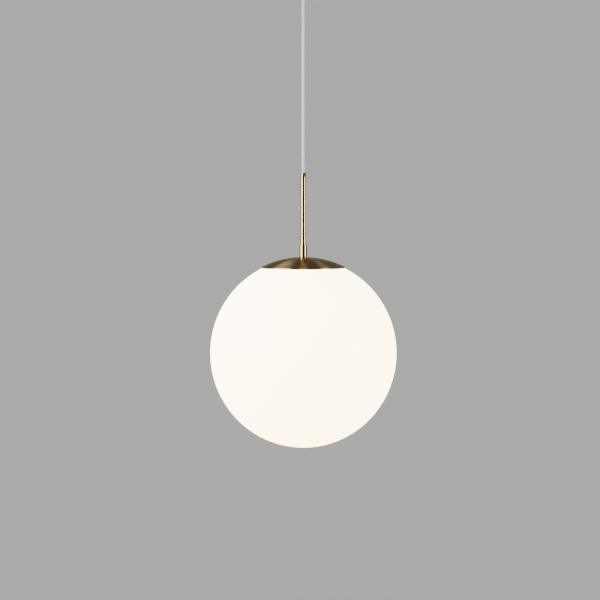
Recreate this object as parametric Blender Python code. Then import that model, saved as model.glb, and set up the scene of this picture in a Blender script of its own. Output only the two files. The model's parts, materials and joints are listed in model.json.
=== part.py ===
"""Pendant ceiling light, in metres with +Z up.

An opal glass globe hangs under a shallow spun brass dome, on a thin brass stem and a round white
cord. The origin is the middle of the ceiling bracket's top face, where the light is screwed on.
Heights on the light are negative, because everything hangs below the ceiling.
"""
import math

import bmesh
import bpy
from mathutils import Matrix, Vector

GAP = 0.0003  # clearance between pieces that touch

# facets round a circle
FACETS_LARGE = 32
FACETS_MEDIUM = 20
FACETS_NUT = 18
FACETS_SMALL = 14

# ceiling bracket
STRAP_HALF_LENGTH = 0.0515
STRAP_WIDTH = 0.020
STRAP_THICKNESS = 0.002
EAR_DROP = 0.017
STRAP_SLOT_INNER = 0.022
STRAP_SLOT_OUTER = 0.036
STRAP_SLOT_RADIUS = 0.0025
M4_RADIUS = 0.002
M4_HOLE_RADIUS = 0.0024
CANOPY_SCREW_DROP = 0.010
CANOPY_SCREW_REACH = 0.0465

# canopy and its cord grip
CANOPY_RADIUS = 0.055
CANOPY_HEIGHT = 0.030
CANOPY_WALL = 0.0012
CANOPY_EDGE_RADIUS = 0.004
GRIP_THREAD_RADIUS = 0.005
GRIP_HOLE_RADIUS = 0.0053
GRIP_TOP_Z = -0.0235
GRIP_FLANGE_RADIUS = 0.008
GRIP_FLANGE_HEIGHT = 0.0025
GRIP_WAIST_RADIUS = 0.0065
GRIP_MOUTH_Z = -0.048
GRIP_BORE_RADIUS = 0.0034
GRIP_MOUTH_RADIUS = 0.0055
GRIP_SCREW_Z = -0.0352
GRIP_SCREW_RADIUS = 0.0012
GRIP_SCREW_HOLE_RADIUS = 0.0015

# terminal block in the canopy
BLOCK_LENGTH = 0.022
BLOCK_DEPTH = 0.015
BLOCK_HEIGHT = 0.012
BLOCK_CENTRE_Y = 0.034
POLE_OFFSET = 0.0055
WIRE_HOLE_RADIUS = 0.0016
WIRE_HOLE_DEPTH = 0.005
SCREW_WELL_RADIUS = 0.0024
SCREW_WELL_DEPTH = 0.0045
TERMINAL_SCREW_RADIUS = 0.0018

# cord
CORD_RADIUS = 0.003
CORE_RADIUS = 0.0011
CORE_OFFSET = 0.0014
CORD_PIVOT_Z = -0.039
CORD_POINTS = 22
JOINT_GAP = 0.0004  # the cord stops this far short of the point it bends about
SHEATH_END_Z = -0.016
LEAD_BARE_LENGTH = 0.001  # the sheath ends this far inside the stem
LEAD_STRAIGHT = Vector((0.0, 0.0, 0.002))
LEAD_SPREAD = 0.009

# stem and collar
STEM_TOP_Z = -0.380
STEM_RADIUS = 0.005
STEM_BORE_RADIUS = 0.004
STEM_PIVOT_DEPTH = 0.0035
BUSH_LENGTH = 0.012
COLLAR_RADIUS = 0.007
COLLAR_HEIGHT = 0.0225
COLLAR_BORE_RADIUS = 0.0053
COLLAR_SCREW_RADIUS = 0.0013
COLLAR_SCREW_HOLE_RADIUS = 0.0016

# dome-shaped top cap
RIM_Z = -0.5578
CAP_RADIUS = 0.0785
CAP_LIP_HEIGHT = 0.0019  # straight part of the wall, under the dome's curve
CAP_SPHERE_RADIUS = 0.175
CAP_WALL = 0.001
CAP_RINGS = 7
GASKET_INNER_RADIUS = 0.0640
GASKET_OUTER_RADIUS = 0.0700
GASKET_HEIGHT = 0.0034

# opal glass globe: an ellipsoid cut flat at the rim, with a ledge turned in
GLOBE_RADIUS = 0.175
GLOBE_HALF_HEIGHT = 0.1777
GLOBE_CENTRE_Z = -0.7176
GLASS_THICKNESS = 0.0025
LEDGE_OPENING_RADIUS = 0.062
LEDGE_OUTER_RADIUS = 0.0785
SHOULDER_DROP = 0.004
GLOBE_RINGS = 17

# holder plate and its nuts
PLATE_TOP_Z = RIM_Z - 0.001
PLATE_RADIUS = 0.057
PLATE_THICKNESS = 0.002
PLATE_VENT_RADIUS = 0.032
PLATE_VENT_HALF_ANGLE = math.radians(22)
PLATE_VENT_HALF_WIDTH = 0.0035
M10_NUT_FLATS = 0.014
M10_NUT_HEIGHT = 0.003
WASHER_RADIUS = 0.0105
WASHER_THICKNESS = 0.001

# turning catches that hold the glass
CATCH_CIRCLE_RADIUS = 0.048
CATCH_ANGLES = (90, 210, 330)
KNOB_RADIUS = 0.0065
KNOB_HEIGHT = 0.0065
KNOB_RIDGE_DEPTH = 0.0005
TAB_THICKNESS = 0.0015
TAB_HALF_WIDTH = 0.0045
TAB_REACH = 0.0155
PAD_THICKNESS = 0.0012
PAD_HALF_WIDTH = 0.0035
PAD_INNER_REACH = 0.0115

# E27 lampholder
HOLDER_NECK_RADIUS = 0.0085
HOLDER_RADIUS = 0.0198
HOLDER_WALL = 0.0016
HOLDER_CAP_HEIGHT = 0.021
HOLDER_SKIRT_HEIGHT = 0.038
THREAD_SHELL_RADIUS = 0.0145
THREAD_SHELL_WALL = 0.0006
THREAD_SHELL_HEIGHT = 0.024
INSERT_HEIGHT = 0.007

# E27 bulb with a 60 mm envelope
BULB_CONTACT_RADIUS = 0.0045
BULB_BASE_RADIUS = 0.0132
BULB_BASE_HEIGHT = 0.0215
BULB_THREAD_PITCH = 0.0036
BULB_THREAD_DEPTH = 0.0007
BULB_NECK_RADIUS = 0.0140
BULB_SHOULDER_RADIUS = 0.0262
BULB_HOUSING_HEIGHT = 0.033
BULB_RADIUS = 0.030
BULB_ENVELOPE_WALL = 0.0012
BULB_ENVELOPE_RINGS = 7

# name: (base colour, roughness, metallic)
FINISHES = {
    "brushed_brass": ((0.62, 0.46, 0.22), 0.38, 1.0),
    "satin_brass": ((0.72, 0.54, 0.27), 0.22, 1.0),
    "opal_glass": ((0.94, 0.92, 0.88), 0.18, 0.0),
    "white_cord": ((0.74, 0.74, 0.72), 0.55, 0.0),
    "zinc_steel": ((0.56, 0.57, 0.58), 0.35, 1.0),
    "white_plastic": ((0.82, 0.82, 0.79), 0.40, 0.0),
    "black_plastic": ((0.03, 0.03, 0.03), 0.35, 0.0),
    "silicone": ((0.70, 0.70, 0.68), 0.65, 0.0),
    "nickel_brass": ((0.72, 0.66, 0.54), 0.28, 1.0),
    "brown_core": ((0.16, 0.07, 0.03), 0.45, 0.0),
    "blue_core": ((0.03, 0.10, 0.35), 0.45, 0.0),
    "ceramic": ((0.80, 0.78, 0.73), 0.45, 0.0),
    "aluminium": ((0.70, 0.70, 0.71), 0.32, 1.0),
    "bulb_diffuser": ((0.92, 0.92, 0.90), 0.40, 0.0),
}


def clear_scene():
    for obj in list(bpy.data.objects):
        bpy.data.objects.remove(obj, do_unlink=True)


def make_material(name, finish):
    colour, roughness, metallic = FINISHES[finish]
    material = bpy.data.materials.new(name)
    material.use_nodes = True
    shader = material.node_tree.nodes["Principled BSDF"]
    shader.inputs["Base Color"].default_value = (*colour, 1.0)
    shader.inputs["Roughness"].default_value = roughness
    shader.inputs["Metallic"].default_value = metallic
    return material


def make_pivot(name, location, parent=None, turn=0.0):
    """An empty on the axis of a joint, which carries the pieces of one body."""
    pivot = bpy.data.objects.new(name, None)
    pivot.empty_display_size = 0.02
    bpy.context.collection.objects.link(pivot)
    place(pivot, location, parent)
    pivot.rotation_euler.z = turn
    return pivot


def place(obj, location, parent):
    """Put an object at a world location under a parent that isn't turned."""
    obj.location = Vector(location)
    if parent is not None:
        obj.parent = parent
        obj.location -= world_location(parent)


def world_location(obj):
    if obj is None:
        return Vector((0.0, 0.0, 0.0))
    return obj.location + world_location(obj.parent)


def add_mesh(name, bm, finish, body, location=(0, 0, 0)):
    bmesh.ops.recalc_face_normals(bm, faces=bm.faces)
    mesh = bpy.data.meshes.new(name)
    bm.to_mesh(mesh)
    bm.free()
    mesh.shade_smooth()
    mesh.set_sharp_from_angle(angle=math.radians(35))
    mesh.materials.append(make_material(name, finish))
    obj = bpy.data.objects.new(name, mesh)
    bpy.context.collection.objects.link(obj)
    place(obj, location, body)
    return obj


def revolve(outline, facets):
    """Spin (radius, height) points round Z. An outline whose two ends are on the axis stays open."""
    bm = bmesh.new()
    points = [bm.verts.new((radius, 0.0, height)) for radius, height in outline]
    ends_on_axis = outline[0][0] == 0.0 and outline[-1][0] == 0.0
    pairs = list(zip(points, points[1:]))
    if not ends_on_axis:
        pairs.append((points[-1], points[0]))
    lines = [bm.edges.new(pair) for pair in pairs]
    bmesh.ops.spin(bm, geom=points + lines, cent=(0, 0, 0), axis=(0, 0, 1),
                   angle=2 * math.pi, steps=facets, use_merge=True)
    bmesh.ops.remove_doubles(bm, verts=bm.verts, dist=1e-6)
    return bm


def turned(name, outline, facets, finish, body, location=(0, 0, 0)):
    return add_mesh(name, revolve(outline, facets), finish, body, location)


def tube_outline(inner, outer, low, high):
    return [(inner, low), (outer, low), (outer, high), (inner, high)]


def prism(outline, thickness, axes):
    """Extrude a flat outline. axes gives the two directions of the outline and the extrusion's."""
    across, up, along = (Vector(axis) for axis in axes)
    bm = bmesh.new()
    base = bm.faces.new([bm.verts.new(across * a + up * b) for a, b in outline])
    grown = bmesh.ops.extrude_face_region(bm, geom=[base])
    new_points = [item for item in grown["geom"] if isinstance(item, bmesh.types.BMVert)]
    bmesh.ops.translate(bm, verts=new_points, vec=along * thickness)
    return bm


ALONG_Z = ((1, 0, 0), (0, 1, 0), (0, 0, 1))
ALONG_Y = ((1, 0, 0), (0, 0, 1), (0, 1, 0))
ALONG_X = ((0, 1, 0), (0, 0, 1), (1, 0, 0))


def capsule(start, end, radius, steps=6):
    """A long hole's outline, with round ends, from start to end along the first direction."""
    points = []
    for centre, first_angle in ((end, -90), (start, 90)):
        for step in range(steps + 1):
            angle = math.radians(first_angle + 180 * step / steps)
            points.append((centre + radius * math.cos(angle), radius * math.sin(angle)))
    return points


def circle(radius, facets=FACETS_SMALL, centre=(0.0, 0.0)):
    turns = [2 * math.pi * step / facets for step in range(facets)]
    return [(centre[0] + radius * math.cos(t), centre[1] + radius * math.sin(t)) for t in turns]


def cut(target, name, bm, location=(0, 0, 0), turn=0.0):
    """Take a hidden cutter's shape out of a piece."""
    bmesh.ops.recalc_face_normals(bm, faces=bm.faces)
    mesh = bpy.data.meshes.new(name)
    bm.to_mesh(mesh)
    bm.free()
    cutter = bpy.data.objects.new(name, mesh)
    cutter.hide_render = True
    cutter.display_type = "WIRE"
    cutter.location = location
    cutter.rotation_euler.z = turn
    bpy.context.collection.objects.link(cutter)
    difference = target.modifiers.new(name, "BOOLEAN")
    difference.operation = "DIFFERENCE"
    difference.solver = "EXACT"
    difference.object = cutter


def cord_tube(name, points, radius, finish, body):
    """A round tube along world points, as a curve with filled ends."""
    curve = bpy.data.curves.new(name, "CURVE")
    curve.dimensions = "3D"
    curve.bevel_depth = radius
    curve.bevel_resolution = 2
    curve.render_resolution_u = 0
    curve.use_fill_caps = True
    spline = curve.splines.new("POLY")
    spline.points.add(len(points) - 1)
    origin = world_location(body)
    for target, point in zip(spline.points, points):
        target.co = (*(Vector(point) - origin), 1.0)
    curve.materials.append(make_material(name, finish))
    obj = bpy.data.objects.new(name, curve)
    bpy.context.collection.objects.link(obj)
    place(obj, origin, body)
    return obj


def straight(low, high, count):
    """Evenly spaced points down the middle axis, from high to low."""
    return [(0.0, 0.0, high + (low - high) * step / (count - 1)) for step in range(count)]


def smooth_route(points, steps=4):
    """Points on a Catmull-Rom curve through the route's own points."""
    ends = [points[0]] + list(points) + [points[-1]]
    knots = [Vector(point) for point in ends]
    route = []
    for before, start, end, after in zip(knots, knots[1:], knots[2:], knots[3:]):
        for step in range(steps):
            t = step / steps
            route.append(0.5 * (2 * start + (end - before) * t
                                + (2 * before - 5 * start + 4 * end - after) * t ** 2
                                + (3 * start - before - 3 * end + after) * t ** 3))
    route.append(knots[-1])
    return route


def hexagon_radius(angle, flats):
    """Distance from the middle to a hexagon's side in a direction."""
    return flats / 2 / math.cos(angle % math.radians(60) - math.radians(30))


def make_nut(name, hole_radius, flats, low, height, finish, body):
    bm = revolve(tube_outline(hole_radius, flats, low, low + height), FACETS_NUT)
    for vertex in bm.verts:
        radius = math.hypot(vertex.co.x, vertex.co.y)
        if radius > hole_radius * 1.1:
            wanted = hexagon_radius(math.atan2(vertex.co.y, vertex.co.x), flats)
            vertex.co.x *= wanted / radius
            vertex.co.y *= wanted / radius
    return add_mesh(name, bm, finish, body)


def make_bracket(body):
    """A steel strap across the canopy, with an ear turned down at each end."""
    outer, wall, drop = STRAP_HALF_LENGTH, STRAP_THICKNESS, EAR_DROP
    outline = [(-outer, 0), (-outer, -drop), (-outer + wall, -drop), (-outer + wall, -wall),
               (outer - wall, -wall), (outer - wall, -drop), (outer, -drop), (outer, 0)]
    bm = prism(outline, STRAP_WIDTH, ALONG_Y)
    bmesh.ops.translate(bm, verts=bm.verts, vec=(0, -STRAP_WIDTH / 2, 0))
    bracket = add_mesh("ceiling_bracket", bm, "zinc_steel", body)
    for side, label in ((-1, "left"), (1, "right")):
        near, far = sorted((side * STRAP_SLOT_INNER, side * STRAP_SLOT_OUTER))
        slot = prism(capsule(near, far, STRAP_SLOT_RADIUS), 3 * STRAP_THICKNESS, ALONG_Z)
        cut(bracket, "strap_slot_" + label, slot, (0, 0, -2 * STRAP_THICKNESS))
    ear_hole = prism(circle(M4_HOLE_RADIUS), 4 * STRAP_HALF_LENGTH, ALONG_X)
    cut(bracket, "ear_hole", ear_hole, (-2 * STRAP_HALF_LENGTH, 0, -CANOPY_SCREW_DROP))


def make_canopy_screws(body):
    """Two M4 screws through the canopy's side into the bracket's ears."""
    start = CANOPY_RADIUS + GAP
    head, shank = 0.0036, M4_RADIUS
    outline = [(0.0, CANOPY_SCREW_REACH), (shank, CANOPY_SCREW_REACH), (shank, start),
               (head, start), (head, start + 0.0012), (0.0024, start + 0.0022),
               (0.0, start + 0.0026)]
    for side, label in ((-1, "left"), (1, "right")):
        bm = revolve(outline, FACETS_SMALL)
        bm.transform(Matrix.Rotation(math.radians(90) * side, 4, "Y"))
        add_mesh("canopy_screw_" + label, bm, "satin_brass", body, (0, 0, -CANOPY_SCREW_DROP))


def rounded_cup(radius, edge, floor, steps=4):
    """Half outline of a cup from the middle of its floor to the top of its wall."""
    points = [(GRIP_HOLE_RADIUS, floor)]
    for step in range(steps + 1):
        angle = math.radians(90 * step / steps)
        points.append((radius - edge + edge * math.sin(angle), floor + edge - edge * math.cos(angle)))
    return points


def make_canopy(body):
    """A shallow cup that hides the bracket. Its two notches are open to the rim."""
    outside = rounded_cup(CANOPY_RADIUS, CANOPY_EDGE_RADIUS, -CANOPY_HEIGHT)
    inside = rounded_cup(CANOPY_RADIUS - CANOPY_WALL, CANOPY_EDGE_RADIUS - CANOPY_WALL,
                         -CANOPY_HEIGHT + CANOPY_WALL)
    rim = -GAP
    outline = outside + [(CANOPY_RADIUS, rim), (CANOPY_RADIUS - CANOPY_WALL, rim)] + inside[::-1]
    canopy = turned("canopy", outline, FACETS_LARGE, "brushed_brass", body)
    notch = prism([(a, b) for b, a in capsule(-CANOPY_SCREW_DROP, 0.01, M4_HOLE_RADIUS)],
                  4 * CANOPY_RADIUS, ALONG_X)
    cut(canopy, "canopy_notches", notch, (-2 * CANOPY_RADIUS, 0, 0))


def make_cord_grip(body):
    """A threaded bush with a bell mouth, a nut inside the canopy and a clamping screw."""
    flange_top = -CANOPY_HEIGHT - GAP
    flange_low = flange_top - GRIP_FLANGE_HEIGHT
    outline = [(GRIP_BORE_RADIUS, GRIP_TOP_Z), (GRIP_BORE_RADIUS, CORD_PIVOT_Z),
               (GRIP_MOUTH_RADIUS, GRIP_MOUTH_Z), (GRIP_MOUTH_RADIUS + 0.0008, GRIP_MOUTH_Z),
               (GRIP_WAIST_RADIUS, GRIP_MOUTH_Z + 0.0012), (GRIP_WAIST_RADIUS, flange_low - 0.001),
               (GRIP_FLANGE_RADIUS, flange_low), (GRIP_FLANGE_RADIUS, flange_top),
               (GRIP_THREAD_RADIUS, flange_top), (GRIP_THREAD_RADIUS, GRIP_TOP_Z)]
    grip = turned("cord_grip", outline, FACETS_MEDIUM, "satin_brass", body)
    hole = prism(circle(GRIP_SCREW_HOLE_RADIUS), GRIP_FLANGE_RADIUS, ALONG_Y)
    cut(grip, "grip_screw_hole", hole, (0, 0, GRIP_SCREW_Z))
    nut_low = -CANOPY_HEIGHT + CANOPY_WALL + GAP
    make_nut("cord_grip_nut", GRIP_THREAD_RADIUS + GAP, M10_NUT_FLATS, nut_low, M10_NUT_HEIGHT,
             "zinc_steel", body)
    screw = prism(circle(GRIP_SCREW_RADIUS), GRIP_WAIST_RADIUS - CORD_RADIUS - GAP, ALONG_Y)
    add_mesh("cord_grip_screw", screw, "zinc_steel", body,
             (0, CORD_RADIUS + GAP, GRIP_SCREW_Z))


def make_terminal_block(body):
    """A two-pole block: wire holes front and back, and a screw in a well over each pole."""
    low = -CANOPY_HEIGHT + CANOPY_WALL + GAP
    top = low + BLOCK_HEIGHT
    half_length, half_depth = BLOCK_LENGTH / 2, BLOCK_DEPTH / 2
    outline = [(-half_length, -half_depth), (half_length, -half_depth),
               (half_length, half_depth), (-half_length, half_depth)]
    bm = prism(outline, BLOCK_HEIGHT, ALONG_Z)
    block = add_mesh("terminal_block", bm, "white_plastic", body, (0, BLOCK_CENTRE_Y, low))
    wire_z = low + BLOCK_HEIGHT * 0.35
    for side, label in ((-1, "live"), (1, "neutral")):
        pole_x = side * POLE_OFFSET
        for end, edge_y in (("front", -half_depth), ("back", half_depth)):
            hole = prism(circle(WIRE_HOLE_RADIUS, 12), 2 * WIRE_HOLE_DEPTH, ALONG_Y)
            cut(block, f"{label}_{end}_hole", hole,
                (pole_x, BLOCK_CENTRE_Y + edge_y - WIRE_HOLE_DEPTH, wire_z))
        well = prism(circle(SCREW_WELL_RADIUS, 12), 2 * SCREW_WELL_DEPTH, ALONG_Z)
        cut(block, label + "_well", well, (pole_x, BLOCK_CENTRE_Y, top - SCREW_WELL_DEPTH))
        screw = prism(circle(TERMINAL_SCREW_RADIUS, 12), SCREW_WELL_DEPTH * 0.7, ALONG_Z)
        add_mesh(f"terminal_screw_{label}", screw, "zinc_steel", body,
                 (pole_x, BLOCK_CENTRE_Y, top - SCREW_WELL_DEPTH + GAP))
    return wire_z


def make_canopy_wiring(body, wire_z):
    """The sheath's end and its two cores, which loop over to the terminal block."""
    sheath_low = CORD_PIVOT_Z + JOINT_GAP
    cord_tube("cord_in_canopy", straight(sheath_low, SHEATH_END_Z, 3), CORD_RADIUS,
              "white_cord", body)
    entry_y = BLOCK_CENTRE_Y - BLOCK_DEPTH / 2
    for side, label, finish in ((-1, "live", "brown_core"), (1, "neutral", "blue_core")):
        start_x, end_x = side * CORE_OFFSET, side * POLE_OFFSET
        route = smooth_route([(start_x, 0, SHEATH_END_Z + GAP), (start_x, 0.0006, -0.0115),
                              (side * 0.0026, 0.006, -0.0075), (side * 0.0048, 0.013, -0.0125),
                              (end_x, 0.019, -0.0215), (end_x, entry_y - 0.0025, wire_z),
                              (end_x, entry_y + WIRE_HOLE_DEPTH * 0.8, wire_z)], 3)
        cord_tube(label + "_core", route, CORE_RADIUS, finish, body)


def make_stem(body):
    """The tube, its plastic bush, and the cord inside it."""
    plate_low = PLATE_TOP_Z - PLATE_THICKNESS
    stem_low = plate_low - WASHER_THICKNESS - M10_NUT_HEIGHT - 0.009
    stem = tube_outline(STEM_BORE_RADIUS, STEM_RADIUS, stem_low, STEM_TOP_Z)
    turned("stem_tube", stem, FACETS_MEDIUM, "satin_brass", body)
    cord_top = STEM_TOP_Z - STEM_PIVOT_DEPTH - JOINT_GAP
    sheath_low = stem_low + LEAD_BARE_LENGTH
    cord_tube("cord_in_stem", straight(sheath_low, cord_top, 3), CORD_RADIUS, "white_cord", body)
    bush = tube_outline(CORD_RADIUS + GAP, STEM_BORE_RADIUS - GAP, cord_top - BUSH_LENGTH,
                        cord_top - JOINT_GAP)
    turned("stem_bush", bush, FACETS_MEDIUM, "white_plastic", body)
    return stem_low


def cap_height(radius, sphere_radius=CAP_SPHERE_RADIUS):
    """Height of the dome over its own rim plane."""
    middle = CAP_LIP_HEIGHT - math.sqrt(CAP_SPHERE_RADIUS ** 2 - CAP_RADIUS ** 2)
    return middle + math.sqrt(sphere_radius ** 2 - radius ** 2)


def make_top_cap(body):
    """A thin spun dome with a narrow lip, its gasket, and the collar that clamps it to the stem."""
    inner_sphere = CAP_SPHERE_RADIUS - CAP_WALL
    inner_rim = CAP_RADIUS - CAP_WALL
    steps = [step / (CAP_RINGS - 1) for step in range(CAP_RINGS)]
    outer_radii = [COLLAR_BORE_RADIUS + (CAP_RADIUS - COLLAR_BORE_RADIUS) * t for t in steps]
    inner_radii = [COLLAR_BORE_RADIUS + (inner_rim - COLLAR_BORE_RADIUS) * t for t in steps]
    outside = [(radius, RIM_Z + cap_height(radius)) for radius in outer_radii]
    outside.append((CAP_RADIUS, RIM_Z))
    inside = [(radius, RIM_Z + cap_height(radius, inner_sphere)) for radius in inner_radii]
    inside.append((inner_rim, RIM_Z))
    turned("top_cap", outside + inside[::-1], FACETS_LARGE, "brushed_brass", body)

    gasket = [(GASKET_INNER_RADIUS, RIM_Z), (GASKET_OUTER_RADIUS, RIM_Z),
              (GASKET_OUTER_RADIUS, RIM_Z + GASKET_HEIGHT * 0.6),
              (GASKET_OUTER_RADIUS - 0.001, RIM_Z + GASKET_HEIGHT),
              (GASKET_INNER_RADIUS, RIM_Z + GASKET_HEIGHT)]
    turned("cap_gasket", gasket, FACETS_LARGE, "silicone", body)

    low = RIM_Z + cap_height(0.0) + GAP
    high = low + COLLAR_HEIGHT
    chamfer = 0.0003
    outline = [(COLLAR_BORE_RADIUS, low), (COLLAR_RADIUS - chamfer, low),
               (COLLAR_RADIUS, low + chamfer), (COLLAR_RADIUS, high - chamfer),
               (COLLAR_RADIUS - chamfer, high), (COLLAR_BORE_RADIUS, high)]
    collar = turned("collar", outline, FACETS_MEDIUM, "satin_brass", body)
    screw_z = low + COLLAR_HEIGHT / 2
    hole = prism(circle(COLLAR_SCREW_HOLE_RADIUS, 12), 2 * COLLAR_RADIUS, ALONG_Y)
    cut(collar, "collar_screw_hole", hole, (0, 0, screw_z))
    screw = prism(circle(COLLAR_SCREW_RADIUS, 12), COLLAR_RADIUS - STEM_RADIUS - 2 * GAP, ALONG_Y)
    add_mesh("collar_screw", screw, "zinc_steel", body, (0, STEM_RADIUS + GAP, screw_z))


def ellipse_points(radius, half_height, first_height, rings):
    """Points down an ellipse from a height over its centre to the lowest point."""
    first = math.acos(first_height / half_height)
    points = []
    for step in range(rings + 1):
        angle = first + (math.pi - first) * step / rings
        points.append((radius * math.sin(angle), GLOBE_CENTRE_Z + half_height * math.cos(angle)))
    points[-1] = (0.0, GLOBE_CENTRE_Z - half_height)
    return points


def make_globe(body):
    """The glass, thin all over, with its opening's edge turned in as a flat ledge."""
    top = RIM_Z - GAP
    ledge_low = top - GLASS_THICKNESS
    outside = ellipse_points(GLOBE_RADIUS, GLOBE_HALF_HEIGHT,
                             top - SHOULDER_DROP - GLOBE_CENTRE_Z, GLOBE_RINGS)
    inside = ellipse_points(GLOBE_RADIUS - GLASS_THICKNESS, GLOBE_HALF_HEIGHT - GLASS_THICKNESS,
                            ledge_low - 0.0022 - GLOBE_CENTRE_Z, GLOBE_RINGS)
    ledge = [(LEDGE_OUTER_RADIUS - 0.001, ledge_low), (LEDGE_OPENING_RADIUS + 0.0005, ledge_low),
             (LEDGE_OPENING_RADIUS, ledge_low + 0.0005), (LEDGE_OPENING_RADIUS, top - 0.0005),
             (LEDGE_OPENING_RADIUS + 0.0005, top), (LEDGE_OUTER_RADIUS, top),
             (LEDGE_OUTER_RADIUS + 0.0010, top - 0.0006),
             (LEDGE_OUTER_RADIUS + 0.0023, top - 0.0018)]
    turned("globe", inside[::-1] + ledge + outside, FACETS_LARGE, "opal_glass", body)


def make_plate(body):
    """The disc in the globe's opening, clamped on the stem between two nuts."""
    low = PLATE_TOP_Z - PLATE_THICKNESS
    outline = tube_outline(STEM_RADIUS + GAP, PLATE_RADIUS, low, PLATE_TOP_Z)
    plate = turned("holder_plate", outline, FACETS_LARGE, "zinc_steel", body)
    for number, degrees in enumerate(CATCH_ANGLES, 1):
        angle = math.radians(degrees)
        centre = (CATCH_CIRCLE_RADIUS * math.cos(angle), CATCH_CIRCLE_RADIUS * math.sin(angle))
        hole = prism(circle(M4_HOLE_RADIUS, 12, centre), 4 * PLATE_THICKNESS, ALONG_Z)
        cut(plate, f"catch_hole_{number}", hole, (0, 0, low - PLATE_THICKNESS))
        vent = prism(arc_slot(), 4 * PLATE_THICKNESS, ALONG_Z)
        cut(plate, f"vent_{number}", vent, (0, 0, low - PLATE_THICKNESS), angle + math.pi)
    make_nut("upper_nut", STEM_RADIUS + GAP, M10_NUT_FLATS, PLATE_TOP_Z + GAP, M10_NUT_HEIGHT,
             "zinc_steel", body)
    washer_low = low - GAP - WASHER_THICKNESS
    washer = tube_outline(STEM_RADIUS + GAP, WASHER_RADIUS, washer_low, low - GAP)
    turned("washer", washer, FACETS_MEDIUM, "zinc_steel", body)
    nut_low = washer_low - GAP - M10_NUT_HEIGHT
    make_nut("lower_nut", STEM_RADIUS + GAP, M10_NUT_FLATS, nut_low, M10_NUT_HEIGHT,
             "zinc_steel", body)
    return nut_low


def arc_slot(steps=6):
    """A curved vent hole's outline."""
    inner = PLATE_VENT_RADIUS - PLATE_VENT_HALF_WIDTH
    outer = PLATE_VENT_RADIUS + PLATE_VENT_HALF_WIDTH
    angles = [PLATE_VENT_HALF_ANGLE * (2 * step / steps - 1) for step in range(steps + 1)]
    out = [(outer * math.cos(angle), outer * math.sin(angle)) for angle in angles]
    back = [(inner * math.cos(angle), inner * math.sin(angle)) for angle in reversed(angles)]
    return out + back


def make_catch(number, pivot):
    """A knob on the plate turns a padded tab under the glass ledge."""
    knob_low = PLATE_TOP_Z + GAP
    tab_top = RIM_Z - GAP - GLASS_THICKNESS - GAP - PAD_THICKNESS - GAP
    tab_low = tab_top - TAB_THICKNESS
    edge = 0.0006
    outline = [(0.0, tab_low), (M4_RADIUS, tab_low), (M4_RADIUS, knob_low),
               (KNOB_RADIUS - edge, knob_low), (KNOB_RADIUS, knob_low + edge),
               (KNOB_RADIUS, knob_low + KNOB_HEIGHT - edge),
               (KNOB_RADIUS - edge, knob_low + KNOB_HEIGHT), (0.0, knob_low + KNOB_HEIGHT)]
    bm = revolve(outline, FACETS_MEDIUM)
    for vertex in bm.verts:
        radius = math.hypot(vertex.co.x, vertex.co.y)
        turn = round(math.atan2(vertex.co.y, vertex.co.x) / (2 * math.pi) * FACETS_MEDIUM)
        if radius > KNOB_RADIUS * 0.95 and turn % 2:
            vertex.co.x *= 1 - KNOB_RIDGE_DEPTH / radius
            vertex.co.y *= 1 - KNOB_RIDGE_DEPTH / radius
    spot = world_location(pivot)
    add_mesh(f"catch_knob_{number}", bm, "nickel_brass", pivot, spot)

    tab = prism(capsule(0.0, TAB_REACH, TAB_HALF_WIDTH), TAB_THICKNESS, ALONG_Z)
    tab = add_mesh(f"catch_tab_{number}", tab, "zinc_steel", pivot, spot + Vector((0, 0, tab_low)))
    hole = prism(circle(M4_RADIUS + GAP, 12), 4 * TAB_THICKNESS, ALONG_Z)
    cut(tab, f"tab_hole_{number}", hole, spot + Vector((0, 0, tab_low - TAB_THICKNESS)))
    pad = prism(capsule(PAD_INNER_REACH, TAB_REACH, PAD_HALF_WIDTH), PAD_THICKNESS, ALONG_Z)
    add_mesh(f"catch_pad_{number}", pad, "silicone", pivot,
             spot + Vector((0, 0, tab_top + GAP)))


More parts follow.
